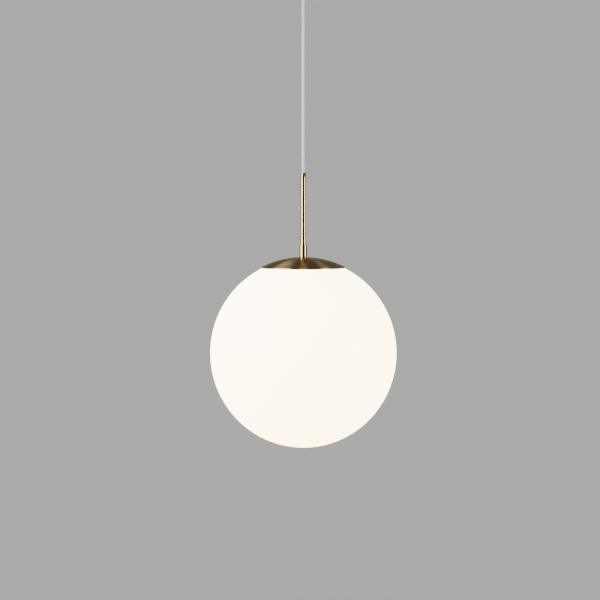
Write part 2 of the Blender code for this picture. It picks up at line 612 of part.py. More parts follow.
def make_lampholder(body, top, stem_low):
    """Cap and skirt of the holder, its ceramic insert, thread shell, contact and leads."""
    cap_top = top - GAP
    cap_low = cap_top - HOLDER_CAP_HEIGHT
    wall, bore = HOLDER_WALL, STEM_RADIUS + GAP
    neck_low = cap_top - 0.006
    cap = [(bore, cap_top), (HOLDER_NECK_RADIUS, cap_top), (HOLDER_NECK_RADIUS, neck_low),
           (HOLDER_RADIUS - 0.006, neck_low - 0.003), (HOLDER_RADIUS - 0.0015, neck_low - 0.0075),
           (HOLDER_RADIUS, neck_low - 0.012), (HOLDER_RADIUS, cap_low),
           (HOLDER_RADIUS - wall, cap_low), (HOLDER_RADIUS - wall, neck_low - 0.012),
           (HOLDER_RADIUS - 0.0015 - wall, neck_low - 0.0085),
           (HOLDER_RADIUS - 0.006 - wall, neck_low - 0.0048), (bore, neck_low - 0.003)]
    turned("holder_cap", cap, FACETS_MEDIUM, "black_plastic", body)

    insert_top = cap_low - 0.001
    insert_low = insert_top - INSERT_HEIGHT
    insert = [(0.0, insert_top), (HOLDER_RADIUS - wall - GAP * 2, insert_top),
              (HOLDER_RADIUS - wall - GAP * 2, insert_low), (0.0, insert_low)]
    turned("holder_insert", insert, FACETS_MEDIUM, "ceramic", body)

    skirt_top = cap_low - GAP
    skirt_low = skirt_top - HOLDER_SKIRT_HEIGHT
    lip = 0.003
    skirt = [(HOLDER_RADIUS - wall, skirt_top), (HOLDER_RADIUS, skirt_top),
             (HOLDER_RADIUS, skirt_low + 0.006), (HOLDER_RADIUS - 0.0008, skirt_low),
             (HOLDER_RADIUS - lip - 0.0006, skirt_low), (HOLDER_RADIUS - lip, skirt_low + 0.004),
             (HOLDER_RADIUS - wall, skirt_low + 0.006)]
    turned("holder_skirt", skirt, FACETS_MEDIUM, "black_plastic", body)

    shell_top = insert_low - GAP
    shell = tube_outline(THREAD_SHELL_RADIUS - THREAD_SHELL_WALL, THREAD_SHELL_RADIUS,
                         shell_top - THREAD_SHELL_HEIGHT, shell_top)
    turned("thread_shell", shell, FACETS_MEDIUM, "nickel_brass", body)

    strip = [(-0.006, 0.0), (-0.0035, -0.0032), (0.0035, -0.0032), (0.006, 0.0),
             (0.0048, 0.0), (0.0030, -0.0024), (-0.0030, -0.0024), (-0.0048, 0.0)]
    contact = prism(strip, 0.005, ALONG_Y)
    add_mesh("centre_contact", contact, "nickel_brass", body,
             (0, -0.0025, insert_low - GAP))

    for side, label, finish in ((-1, "live", "brown_core"), (1, "neutral", "blue_core")):
        start = Vector((side * CORE_OFFSET, 0, stem_low - GAP))
        end = Vector((side * LEAD_SPREAD, 0, insert_top + GAP))
        route = smooth_route([start, start - LEAD_STRAIGHT, start.lerp(end, 0.5),
                              end + LEAD_STRAIGHT, end + LEAD_STRAIGHT / 4], 3)
        cord_tube(label + "_lead", route, CORE_RADIUS, finish, body)
    return insert_low


def make_bulb(body, insert_low):
    """The bulb's contact, glass insulator, screw base, housing, LED board and envelope."""
    top = insert_low - GAP - 0.0032 - GAP
    disc_low = top - 0.0012
    contact = [(0.0, top), (BULB_CONTACT_RADIUS * 0.7, top - 0.0002),
               (BULB_CONTACT_RADIUS, disc_low), (0.0, disc_low)]
    turned("bulb_contact", contact, FACETS_SMALL, "nickel_brass", body)

    insulator_top = disc_low - GAP
    insulator_low = insulator_top - 0.003
    insulator = [(0.0, insulator_top), (BULB_CONTACT_RADIUS + 0.0006, insulator_top),
                 (BULB_BASE_RADIUS - 0.0025, insulator_low), (0.0, insulator_low)]
    turned("bulb_insulator", insulator, FACETS_SMALL, "black_plastic", body)

    base_top = insulator_low - GAP
    base_low = base_top - BULB_BASE_HEIGHT
    base = [(0.0, base_top), (BULB_BASE_RADIUS - 0.0020, base_top)]
    half_turns = int((BULB_BASE_HEIGHT - 0.004) / (BULB_THREAD_PITCH / 2))
    for step in range(half_turns):
        ridge = BULB_THREAD_DEPTH if step % 2 else 0.0
        base.append((BULB_BASE_RADIUS - ridge, base_top - 0.001 - step * BULB_THREAD_PITCH / 2))
    base += [(BULB_BASE_RADIUS, base_low), (0.0, base_low)]
    turned("bulb_base", base, FACETS_MEDIUM, "aluminium", body)

    housing_top = base_low - GAP
    housing_low = housing_top - BULB_HOUSING_HEIGHT
    housing = [(0.0, housing_top), (BULB_NECK_RADIUS, housing_top)]
    for step in range(1, 7):
        t = step / 6
        flare = BULB_NECK_RADIUS + (BULB_SHOULDER_RADIUS - BULB_NECK_RADIUS) * t ** 1.4
        housing.append((flare, housing_top - BULB_HOUSING_HEIGHT * t))
    housing.append((0.0, housing_low))
    turned("bulb_housing", housing, FACETS_MEDIUM, "white_plastic", body)

    board_top = housing_low - GAP
    board = [(0.0, board_top), (0.019, board_top), (0.019, board_top - 0.0012),
             (0.0, board_top - 0.0012)]
    turned("bulb_led_board", board, FACETS_MEDIUM, "aluminium", body)

    first = math.asin(BULB_SHOULDER_RADIUS / BULB_RADIUS)
    centre = board_top - BULB_RADIUS * math.cos(first)
    outside, inside = [], []
    for step in range(BULB_ENVELOPE_RINGS + 1):
        angle = first + (math.pi - first) * step / BULB_ENVELOPE_RINGS
        for wall, points in ((0.0, outside), (BULB_ENVELOPE_WALL, inside)):
            radius = BULB_RADIUS - wall
            points.append((radius * math.sin(angle), centre + radius * math.cos(angle)))
    inside[0] = (inside[0][0] - 0.0004, board_top)
    outside[-1] = (0.0, centre - BULB_RADIUS)
    inside[-1] = (0.0, centre - BULB_RADIUS + BULB_ENVELOPE_WALL)
    turned("bulb_envelope", outside[::-1] + inside, FACETS_MEDIUM, "bulb_diffuser", body)


def build_light():
    clear_scene()
    ceiling = make_pivot("ceiling", (0, 0, 0))
    make_bracket(ceiling)
    make_canopy_screws(ceiling)

    canopy = make_pivot("canopy_slide", (0, 0, 0), ceiling)
    make_canopy(canopy)
    make_cord_grip(canopy)
    wire_z = make_terminal_block(canopy)
    make_canopy_wiring(canopy, wire_z)

    cord = make_pivot("cord_hinge", (0, 0, CORD_PIVOT_Z), canopy)
    stem_pivot_z = STEM_TOP_Z - STEM_PIVOT_DEPTH
    route = straight(stem_pivot_z + JOINT_GAP, CORD_PIVOT_Z - JOINT_GAP, CORD_POINTS)
    cord_tube("cord", route, CORD_RADIUS, "white_cord", cord)

    lamp = make_pivot("lamp_hinge", (0, 0, stem_pivot_z), cord)
    stem_low = make_stem(lamp)
    nut_low = make_plate(lamp)
    insert_low = make_lampholder(lamp, nut_low, stem_low)

    make_globe(make_pivot("globe_axis", (0, 0, GLOBE_CENTRE_Z), lamp))
    make_top_cap(make_pivot("cap_slide", (0, 0, RIM_Z), lamp))
    make_bulb(make_pivot("bulb_slide", (0, 0, insert_low), lamp), insert_low)
    for number, degrees in enumerate(CATCH_ANGLES, 1):
        angle = math.radians(degrees)
        spot = (CATCH_CIRCLE_RADIUS * math.cos(angle), CATCH_CIRCLE_RADIUS * math.sin(angle), 0)
        make_catch(number, make_pivot(f"catch_axis_{number}", spot, lamp, angle))


build_light()
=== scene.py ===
"""The looks of the pendant ceiling light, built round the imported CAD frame. Metres, +Z up."""
import json
import math

import bmesh
import bpy
from mathutils import Matrix, Vector


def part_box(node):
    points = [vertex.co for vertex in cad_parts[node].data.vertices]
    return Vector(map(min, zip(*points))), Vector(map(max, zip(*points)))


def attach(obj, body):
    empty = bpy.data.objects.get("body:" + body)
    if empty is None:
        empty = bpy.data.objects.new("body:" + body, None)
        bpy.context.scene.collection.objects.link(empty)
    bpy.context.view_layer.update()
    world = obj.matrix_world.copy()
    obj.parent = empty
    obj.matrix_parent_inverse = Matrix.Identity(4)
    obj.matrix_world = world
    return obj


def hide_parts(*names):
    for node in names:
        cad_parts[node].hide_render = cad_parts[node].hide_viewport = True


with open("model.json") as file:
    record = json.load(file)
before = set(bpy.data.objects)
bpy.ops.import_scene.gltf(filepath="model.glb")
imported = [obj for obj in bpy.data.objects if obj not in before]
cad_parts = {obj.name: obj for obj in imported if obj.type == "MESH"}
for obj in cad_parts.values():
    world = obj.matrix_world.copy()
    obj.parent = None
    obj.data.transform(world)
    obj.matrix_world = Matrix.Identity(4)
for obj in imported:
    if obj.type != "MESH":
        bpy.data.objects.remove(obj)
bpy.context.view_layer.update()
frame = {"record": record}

# ---- camera ----
CAMERA_PLACE = (-0.0063, -3.006, -0.4414)
CAMERA_LENS = 96.1  # in millimetres, like the sensor's width
CAMERA_SENSOR_WIDTH = 36.0
CAMERA_PITCH_DOWN = math.radians(3.36)

# ---- light levels ----
EXPOSURE_STOPS = 3.0
LEVEL = 1 / 2 ** EXPOSURE_STOPS  # turns a level after exposure into scene units
# position on the sky's ramp and colour at the horizon, then overhead
SKY_STOPS = ((0.16, (0.38, 0.3819, 0.3667)), (0.42, (0.16, 0.16, 0.1552)))
GLASS_LEVEL = 3.2
LIGHT_DISTANCE = 3.2
LIGHT_AIM = Vector((0.0, 0.0, -0.5))
FLOOR_Z = -1.75
FLOOR_RADIUS = 2.3
FLOOR_FADE_RADIUS = 0.575  # where it starts to fade

# name, azimuth and elevation in degrees, width, height, level
SOFTBOXES = (
    ("softbox_left", -62.5, 8, 3.1, 2.4, 3.4),
    ("softbox_right", 62.5, -2, 1.1, 1.4, 5.4),
    ("kicker_left", -98, 48, 1.0, 1.6, 1.65),
    ("kicker_right", 98, 48, 1.0, 1.6, 0.55),
    ("softbox_above_camera", 0, 42, 0.9, 1.8, 1.3),
)
# name, azimuth in degrees, width, height, distance, level
REFLECTED_CARDS = (
    ("dark_front", 9.5, 5.7, 6.0, 3.6, 0.055),
    ("grey_behind", 180, 5.7, 1.8, 3.4, 0.16),
    ("grey_left", -112, 2.6, 4.0, 3.4, 0.22),
    ("grey_right", 107, 3.4, 4.0, 3.4, 0.22),
)

# ---- what the frame's record says about each CAD node ----
RECORD = frame["record"]
BODY_OF = {node: body for body, nodes in RECORD["behaviour"]["bodies"].items() for node in nodes}
SLOT_OF = {row["node"]: row["material_slot"] for row in RECORD["subparts"]}


# ---- node helpers ----
def set_stops(elements, stops):
    """Give a colour ramp's elements a list of (position, colour)."""
    while len(elements) < len(stops):
        elements.new(1.0)
    for element, (position, colour) in zip(elements, stops):
        element.position = position
        element.color = (*colour, 1.0)


class Shader:
    """A material's node tree, with short calls to add and link nodes."""

    def __init__(self, name, base, roughness, metallic=0.0):
        self.material = bpy.data.materials.new(name)
        self.material.use_nodes = True
        self.tree = self.material.node_tree
        self.principled = self.tree.nodes["Principled BSDF"]
        self.set("Base Color", (*base, 1.0))
        self.set("Roughness", roughness)
        self.set("Metallic", metallic)
        coordinates = self.tree.nodes.new("ShaderNodeTexCoord")
        self.object_space = coordinates.outputs["Object"]

    def set(self, socket, value):
        self.principled.inputs[socket].default_value = value

    def link(self, output, socket):
        self.tree.links.new(output, self.principled.inputs[socket])

    def add(self, kind, inputs=None, **settings):
        node = self.tree.nodes.new(kind)
        for key, value in settings.items():
            setattr(node, key, value)
        for key, value in (inputs or {}).items():
            if isinstance(value, bpy.types.NodeSocket):
                self.tree.links.new(value, node.inputs[key])
            else:
                node.inputs[key].default_value = value
        return node

    def maths(self, operation, first, second=0.0, third=0.0):
        node = self.add("ShaderNodeMath", {0: first, 1: second, 2: third}, operation=operation)
        return node.outputs[0]

    def blend(self, first, share, second, rest):
        """first * share + second * rest"""
        return self.maths("MULTIPLY_ADD", first, share, self.maths("MULTIPLY", second, rest))

    def noise(self, vector, scale, detail=3.0, roughness=0.5):
        inputs = {"Vector": vector, "Scale": scale, "Detail": detail, "Roughness": roughness}
        return self.add("ShaderNodeTexNoise", inputs).outputs["Fac"]

    def stretched(self, scale):
        """Object space, scaled by a factor for each axis."""
        inputs = {"Vector": self.object_space, "Scale": scale}
        return self.add("ShaderNodeMapping", inputs).outputs[0]

    def spread(self, value, low, high, from_low=0.0, from_high=1.0):
        """Map a value's range to low..high."""
        inputs = {"Value": value, "From Min": from_low, "From Max": from_high,
                  "To Min": low, "To Max": high}
        return self.add("ShaderNodeMapRange", inputs).outputs[0]

    def colour(self, value, stops, socket="Base Color"):
        """Colour a socket by a value, through a ramp of (position, colour)."""
        node = self.add("ShaderNodeValToRGB", {"Fac": value})
        set_stops(node.color_ramp.elements, stops)
        self.link(node.outputs["Color"], socket)

    def bump(self, height, distance, strength):
        inputs = {"Height": height, "Distance": distance, "Strength": strength}
        self.link(self.add("ShaderNodeBump", inputs).outputs["Normal"], "Normal")

    def polar(self):
        """Distance from the Z axis, angle round it and height, in object space."""
        parts = self.add("ShaderNodeSeparateXYZ", {"Vector": self.object_space}).outputs
        squares = self.maths("ADD", self.maths("MULTIPLY", parts[0], parts[0]),
                             self.maths("MULTIPLY", parts[1], parts[1]))
        return self.maths("SQRT", squares), self.maths("ARCTAN2", parts[1], parts[0]), parts[2]

    def rings(self, radius, angle, ring_scale, angle_scale, roughness):
        """Noise in rings round the Z axis, that changes slowly along each ring."""
        across = self.maths("MULTIPLY", radius, ring_scale)
        along = self.maths("MULTIPLY", angle, angle_scale)
        vector = self.add("ShaderNodeCombineXYZ", {0: across, 1: along}).outputs[0]
        return self.noise(vector, 1.0, 3.0, roughness)

    def turned_grain(self, anisotropy):
        """A grain that runs round the Z axis, as a lathe leaves it."""
        self.set("Anisotropic", anisotropy)
        self.set("Anisotropic Rotation", 0.25)
        tangent = self.add("ShaderNodeTangent", direction_type="RADIAL", axis="Z")
        self.link(tangent.outputs[0], "Tangent")


# ---- materials ----
# the dome is polished round the collar, and brushed from the second radius outwards
POLISHED_RADIUS = 0.010
BRUSHED_RADIUS = 0.055
POLISHED_SHARE = 0.33  # of the brushed roughness
BRAID_STRANDS = 8
BRAID_PITCH = 0.0022


def brushed_brass():
    """Spun brass: fine rings round the axis, which spread a highlight into fans."""
    shader = Shader("brushed_brass", (0.60, 0.470, 0.262), 0.34, 1.0)
    radius, angle, _ = shader.polar()
    fine = shader.rings(radius, angle, 2400.0, 2.0, 0.6)
    broad = shader.rings(radius, angle, 420.0, 0.6, 0.65)
    clouds = shader.noise(shader.object_space, 34.0)
    tone = shader.blend(fine, 0.35, broad, 0.65)
    shader.colour(tone, [(0.32, (0.45, 0.342, 0.178)), (0.50, (0.60, 0.470, 0.262)),
                         (0.68, (0.74, 0.593, 0.347))])
    rough = shader.blend(broad, 0.12, clouds, 0.08)
    polish = shader.spread(radius, POLISHED_SHARE, 1.0, POLISHED_RADIUS, BRUSHED_RADIUS)
    shader.link(shader.maths("MULTIPLY", shader.maths("ADD", rough, 0.21), polish), "Roughness")
    shader.bump(broad, 0.000012, 0.35)
    shader.turned_grain(1.0)
    return shader.material


def satin_brass():
    """Polished tube brass, with faint rings from the lathe and a few cloudy patches."""
    shader = Shader("satin_brass", (0.64, 0.475, 0.225), 0.16, 1.0)
    lines = shader.noise(shader.stretched((60.0, 60.0, 900.0)), 1.0)
    clouds = shader.noise(shader.object_space, 60.0, 4.0)
    tone = shader.blend(lines, 0.4, clouds, 0.6)
    shader.colour(tone, [(0.30, (0.58, 0.42, 0.185)), (0.70, (0.70, 0.53, 0.265))])
    rough = shader.blend(lines, 0.015, clouds, 0.03)
    shader.link(shader.maths("ADD", rough, 0.12), "Roughness")
    shader.turned_grain(0.8)
    return shader.material


def opal_glass():
    """White cased glass with a gloss surface, lit evenly from inside."""
    low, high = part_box("globe")
    shader = Shader("opal_glass", (0.90, 0.88, 0.83), 0.24)
    _, _, height = shader.polar()
    share = shader.spread(height, 0.0, 1.0, low.z, high.z)
    drift = shader.noise(shader.object_space, 9.0, 2.0)
    tone = shader.blend(drift, 0.10, share, 0.9)
    shader.colour(tone, [(0.0, (1.0, 0.75, 0.42)), (0.45, (1.0, 0.79, 0.47)),
                         (1.0, (1.0, 0.84, 0.56))], "Emission Color")
    shader.set("Emission Strength", GLASS_LEVEL * LEVEL)
    shader.set("Specular IOR Level", 0.35)
    shader.set("IOR", 1.50)
    waves = shader.noise(shader.object_space, 16.0, 2.0)
    shader.bump(waves, 0.0004, 0.25)
    return shader.material


def white_cord():
    """A tight textile braid over a round cord."""
    shader = Shader("white_cord", (0.78, 0.78, 0.765), 0.72)
    _, angle, height = shader.polar()
    turn = shader.maths("MULTIPLY", angle, BRAID_STRANDS)
    climb = shader.maths("MULTIPLY", height, 2 * math.pi / BRAID_PITCH)
    left = shader.maths("SINE", shader.maths("ADD", turn, climb))
    right = shader.maths("SINE", shader.maths("SUBTRACT", turn, climb))
    weave = shader.maths("MULTIPLY", left, right)
    fibres = shader.noise(shader.stretched((9000.0, 9000.0, 2500.0)), 1.0, 2.0)
    tone = shader.maths("MULTIPLY_ADD", weave, 0.22, fibres)
    shader.colour(tone, [(0.20, (0.73, 0.73, 0.725)), (0.80, (0.93, 0.93, 0.93))])
    shader.bump(shader.maths("MULTIPLY_ADD", fibres, 0.25, weave), 0.00010, 0.6)
    shader.set("Sheen Weight", 0.25)
    return shader.material


def plain(name, dark, light, roughness, metallic=0.0, scale=120.0, grain=0.00002):
    """A moulded, plated or cast finish: two tones, uneven gloss and a fine grain."""
    shader = Shader(name, light, roughness, metallic)
    clouds = shader.noise(shader.object_space, scale, 4.0, 0.6)
    fine = shader.noise(shader.object_space, scale * 14)
    shader.colour(clouds, [(0.32, dark), (0.68, light)])
    shader.link(shader.spread(fine, roughness * 0.82, roughness * 1.22), "Roughness")
    shader.bump(fine, grain, 0.5)
    return shader.material


# name: dark tone, light tone, roughness, and metallic, noise scale and grain where they differ
PLAIN_FINISHES = {
    "zinc_steel": ((0.55, 0.56, 0.575), (0.64, 0.65, 0.66), 0.32, 1.0, 160.0),
    "white_plastic": ((0.76, 0.76, 0.73), (0.84, 0.84, 0.81), 0.38),
    "black_plastic": ((0.018, 0.018, 0.019), (0.034, 0.033, 0.033), 0.30),
    "silicone": ((0.62, 0.62, 0.60), (0.72, 0.72, 0.70), 0.62),
    "nickel_brass": ((0.62, 0.56, 0.45), (0.76, 0.70, 0.58), 0.24, 1.0),
    "brown_core": ((0.13, 0.055, 0.025), (0.19, 0.085, 0.04), 0.42),
    "blue_core": ((0.02, 0.08, 0.30), (0.04, 0.12, 0.40), 0.42),
    "ceramic": ((0.72, 0.70, 0.65), (0.83, 0.81, 0.76), 0.48, 0.0, 120.0, 0.00004),
    "aluminium": ((0.60, 0.60, 0.61), (0.76, 0.76, 0.77), 0.30, 1.0),
    "bulb_diffuser": ((0.88, 0.88, 0.86), (0.94, 0.94, 0.92), 0.42),
}
PHOSPHOR = ((0.62, 0.50, 0.12), (0.80, 0.66, 0.18), 0.55)


def make_materials():
    materials = {maker.__name__: maker()
                 for maker in (brushed_brass, satin_brass, opal_glass, white_cord)}
    materials.update({name: plain(name, *finish) for name, finish in PLAIN_FINISHES.items()})
    return materials


# ---- mesh helpers ----
SHARP_ANGLE = math.radians(40)
ROUND_STEPS = 4
LARGE_FACETS = 180
MEDIUM_FACETS = 96
SMALL_FACETS = 48
HOLE_FACETS = 32
EDGE = 0.0003  # the usual bevel or round on a turned piece
GAP = 0.0003  # clearance between pieces
X_AXES = ((0, 1, 0), (0, 0, 1), (1, 0, 0))
Y_AXES = ((1, 0, 0), (0, 0, 1), (0, 1, 0))
Z_AXES = ((1, 0, 0), (0, 1, 0), (0, 0, 1))


def to_mesh(name, bm):
    mesh = bpy.data.meshes.new(name)
    bm.to_mesh(mesh)
    bm.free()
    return mesh


def new_object(name, data):
    obj = bpy.data.objects.new(name, data)
    bpy.context.scene.collection.objects.link(obj)
    return obj


def carry(obj, node, material=None):
    """Put a finished piece on a CAD node's body, in the node's place and slot."""
    obj.data.materials.append(material or MATERIALS[SLOT_OF[node]])
    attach(obj, BODY_OF[node])
    if material is None:
        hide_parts(node)
    return obj


def add_piece(name, bm, node, smooth_angle=30, material=None):
    bmesh.ops.recalc_face_normals(bm, faces=bm.faces)
    mesh = to_mesh(name, bm)
    mesh.shade_smooth()
    mesh.set_sharp_from_angle(angle=math.radians(smooth_angle))
    return carry(new_object(name, mesh), node, material)


def add_flat_piece(name, bm, node):
    """A piece with flat faces and narrow rounds, shaded so that the faces stay flat."""
    piece = add_piece(name, bm, node, 60)
    piece.modifiers.new("flat_faces", "WEIGHTED_NORMAL").keep_sharp = True


def revolve(outline, facets):
    """Spin (radius, height) points round Z. An outline with both ends on the axis stays open."""
    bm = bmesh.new()
    points = [bm.verts.new((radius, 0.0, height)) for radius, height in outline]
    pairs = list(zip(points, points[1:]))
    if outline[0][0] > 0.0 or outline[-1][0] > 0.0:
        pairs.append((points[-1], points[0]))
    lines = [bm.edges.new(pair) for pair in pairs]
    bmesh.ops.spin(bm, geom=points + lines, cent=(0, 0, 0), axis=(0, 0, 1),
                   angle=2 * math.pi, steps=facets, use_merge=True)
    bmesh.ops.remove_doubles(bm, verts=bm.verts, dist=1e-6)
    return bm


def reshape(bm, new_radius):
    """Move each point to the distance from Z that new_radius(radius, angle, height) gives."""
    for vertex in bm.verts:
        radius = math.hypot(vertex.co.x, vertex.co.y)
        if radius > 1e-6:
            angle = math.atan2(vertex.co.y, vertex.co.x)
            scale = new_radius(radius, angle, vertex.co.z) / radius
            vertex.co.x *= scale
            vertex.co.y *= scale
    return bm


def cut_thread(bm, crest, pitch, depth, low, high):
    """A helical groove in the wall at the crest radius. A bore's thread has a negative depth."""
    def grooved(radius, angle, height):
        if abs(radius - crest) > 0.0001 or not low < height < high:
            return radius
        phase = (height / pitch - angle / (2 * math.pi)) % 1.0
        fade = min(1.0, (height - low) / pitch, (high - height) / pitch)
        return radius - depth * fade * (1 - abs(2 * phase - 1))
    return reshape(bm, grooved)


def flute(bm, crest, count, depth, reach=0.0001):
    """Upright grooves round the walls within reach of the crest radius."""
    def grooved(radius, angle, height):
        if abs(radius - crest) > reach:
            return radius
        return radius - depth * (0.5 - 0.5 * math.cos(angle * count))
    return reshape(bm, grooved)


def wall(radius, start, end, spacing=0.0002):
    """Points along a straight wall, close enough to hold a thread."""
    count = max(1, round(abs(end - start) / spacing))
    return [(radius, start + (end - start) * step / count) for step in range(count + 1)]


def rounded(outline, radius, steps=ROUND_STEPS):
    """Round each corner of a closed outline with a short arc. radius may be a list."""
    corners = [Vector(point) for point in outline]
    radii = radius if isinstance(radius, list) else [radius] * len(corners)
    result = []
    for before, here, after, most in zip(corners[-1:] + corners, corners,
                                         corners[1:] + corners[:1], radii):
        reach = min(most, (before - here).length * 0.45, (after - here).length * 0.45)
        if reach == 0.0:
            result.append(tuple(here))
            continue
        start = here + (before - here).normalized() * reach
        end = here + (after - here).normalized() * reach
        for step in range(steps + 1):
            t = step / steps
            point = start * (1 - t) ** 2 + here * 2 * t * (1 - t) + end * t ** 2
            result.append(tuple(point))
    return result


def rounded_solid(outline, radius):
    """Like rounded, for a half outline that starts and ends on the axis."""
    arcs = rounded(outline, radius)
    return [outline[0]] + arcs[ROUND_STEPS + 1:-ROUND_STEPS - 1] + [outline[-1]]


def rod_outline(radius, low, high, edge):
    """Half outline of a solid rod with rounded edges."""
    return rounded_solid([(0.0, low), (radius, low), (radius, high), (0.0, high)], edge)


def tube_outline(inner, outer, low, high):
    return [(inner, low), (outer, low), (outer, high), (inner, high)]


def arc_down(radius, half_height, centre, first, rings):
    """Points down an ellipse, from an angle off its top to its lowest point on the axis."""
    angles = [first + (math.pi - first) * step / rings for step in range(rings)]
    arc = [(radius * math.sin(angle), centre + half_height * math.cos(angle)) for angle in angles]
    return arc + [(0.0, centre - half_height)]


def add_rod(name, node, edge, facets):
    """A rod as large as its node."""
    low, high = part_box(node)
    add_piece(name, revolve(rod_outline(high.x, low.z, high.z, edge), facets), node)


def add_ring(name, node, bore, edge, facets):
    """A ring with rounded edges, as large as its node."""
    low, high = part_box(node)
    outline = rounded(tube_outline(bore, high.x, low.z, high.z), edge)
    add_piece(name, revolve(outline, facets), node)


def prism(outline, thickness, axes):
    """Extrude a flat outline. axes gives the two directions of the outline and the extrusion's."""
    across, up, along = (Vector(axis) for axis in axes)
    bm = bmesh.new()
    base = bm.faces.new([bm.verts.new(across * a + up * b) for a, b in outline])
    grown = bmesh.ops.extrude_face_region(bm, geom=[base])
    new_points = [item for item in grown["geom"] if isinstance(item, bmesh.types.BMVert)]
    bmesh.ops.translate(bm, verts=new_points, vec=along * thickness)
    bmesh.ops.recalc_face_normals(bm, faces=bm.faces)
    return bm


def circle(radius, facets=HOLE_FACETS):
    turns = [2 * math.pi * step / facets for step in range(facets)]
    return [(radius * math.cos(turn), radius * math.sin(turn)) for turn in turns]


def capsule(start, end, radius, steps=16):
    """A long hole's outline, with round ends, from start to end along the first direction."""
    points = []
    for centre, first_angle in ((end, -90), (start, 90)):
        for step in range(steps + 1):
            angle = math.radians(first_angle + 180 * step / steps)
            points.append((centre + radius * math.cos(angle), radius * math.sin(angle)))
    return points


def cutter(outline, axes, length, centre=(0, 0, 0), turn=0.0):
    """A prism to cut with, which reaches as far on either side of its centre."""
    start = Vector(centre) - Vector(axes[2]) * length / 2
    return moved(prism(outline, length, axes), start, turn)


def block(size, centre):
    bm = bmesh.new()
    bmesh.ops.create_cube(bm, size=1.0)
    bm.transform(Matrix.Translation(centre) @ Matrix.Diagonal((*size, 1.0)))
    return bm


def moved(bm, offset, turn=0.0):
    bm.transform(Matrix.Translation(offset) @ Matrix.Rotation(turn, 4, "Z"))
    return bm


def carve(bm, cutters):
    """The mesh with the cutters' shapes taken out."""
    solids = [new_object("carving", to_mesh("carving", part)) for part in [bm] + cutters]
    for taken in solids[1:]:
        difference = solids[0].modifiers.new("difference", "BOOLEAN")
        difference.operation = "DIFFERENCE"
        difference.solver = "EXACT"
        difference.object = taken
    result = bmesh.new()
    result.from_object(solids[0], bpy.context.evaluated_depsgraph_get())
    for solid in solids:
        mesh = solid.data
        bpy.data.objects.remove(solid)
        bpy.data.meshes.remove(mesh)
    return result


def soften(bm, width):
    """A narrow round along each sharp edge."""
    bmesh.ops.remove_doubles(bm, verts=bm.verts, dist=1e-6)
    bmesh.ops.recalc_face_normals(bm, faces=bm.faces)
    sharp = [edge for edge in bm.edges if edge.calc_face_angle(0.0) > SHARP_ANGLE]
    bmesh.ops.bevel(bm, geom=sharp, offset=width, offset_type="OFFSET", segments=2, profile=0.5,
                    affect="EDGES", clamp_overlap=True)
    return bm


def smooth_route(points, steps=8):
    """Points on a Catmull-Rom curve through the route's own points."""
    knots = [Vector(point) for point in [points[0], *points, points[-1]]]
    route = []
    for before, start, end, after in zip(knots, knots[1:], knots[2:], knots[3:]):
        for step in range(steps):
            t = step / steps
            route.append(0.5 * (2 * start + (end - before) * t
                                + (2 * before - 5 * start + 4 * end - after) * t ** 2
                                + (3 * start - before - 3 * end + after) * t ** 3))
    route.append(knots[-1])
    return route


def add_wire(node, points):
    """A core's round wire along a route, with filled ends."""
    name = node + "_wire"
    curve = bpy.data.curves.new(name, "CURVE")
    curve.dimensions = "3D"
    curve.bevel_depth = CORE_RADIUS
    curve.bevel_resolution = 6
    curve.use_fill_caps = True
    spline = curve.splines.new("POLY")
    spline.points.add(len(points) - 1)
    for target, point in zip(spline.points, points):
        target.co = (*point, 1.0)
    carry(new_object(name, curve), node)


# ---- ceiling bracket and its screws ----
STRAP_WALL = 0.002
STRAP_FOLD_RADII = (0.003, 0.001)  # outside and inside of the fold
STRAP_SLOT_STARTS = (-0.036, 0.022)
STRAP_SLOT_LENGTH = 0.014
STRAP_SLOT_RADIUS = 0.0025
STRAP_BEVEL = 0.00025
M4_RADIUS = 0.002
M4_HOLE_RADIUS = 0.0024
M4_PITCH = 0.0007
THREAD_DEPTH = 0.0004  # of the M4 and M10 threads
CANOPY_SCREW_Z = -0.010
SCREW_HEAD_HEIGHT = 0.0026
SCREW_SLOT_SIZE = (0.0010, 0.02, 0.0022)


def make_bracket():
    """A folded steel strap with two long slots and a hole in each ear."""
    low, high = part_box("ceiling_bracket")
    outer, bottom, thin = high.x, low.z, STRAP_WALL
    outline = [(-outer, 0.0), (-outer, bottom), (-outer + thin, bottom), (-outer + thin, -thin),
               (outer - thin, -thin), (outer - thin, bottom), (outer, bottom), (outer, 0.0)]
    left_radii = [STRAP_FOLD_RADII[0], 0.0, 0.0, STRAP_FOLD_RADII[1]]
    outline = rounded(outline, left_radii + left_radii[::-1])
    strap = moved(prism(outline, high.y - low.y, Y_AXES), (0, low.y, 0))
    cutters = [cutter(capsule(start, start + STRAP_SLOT_LENGTH, STRAP_SLOT_RADIUS), Z_AXES, 0.01)
               for start in STRAP_SLOT_STARTS]
    cutters.append(cutter(circle(M4_HOLE_RADIUS), X_AXES, 4 * outer, (0, 0, CANOPY_SCREW_Z)))
    add_flat_piece("folded_strap", soften(carve(strap, cutters), STRAP_BEVEL), "ceiling_bracket")


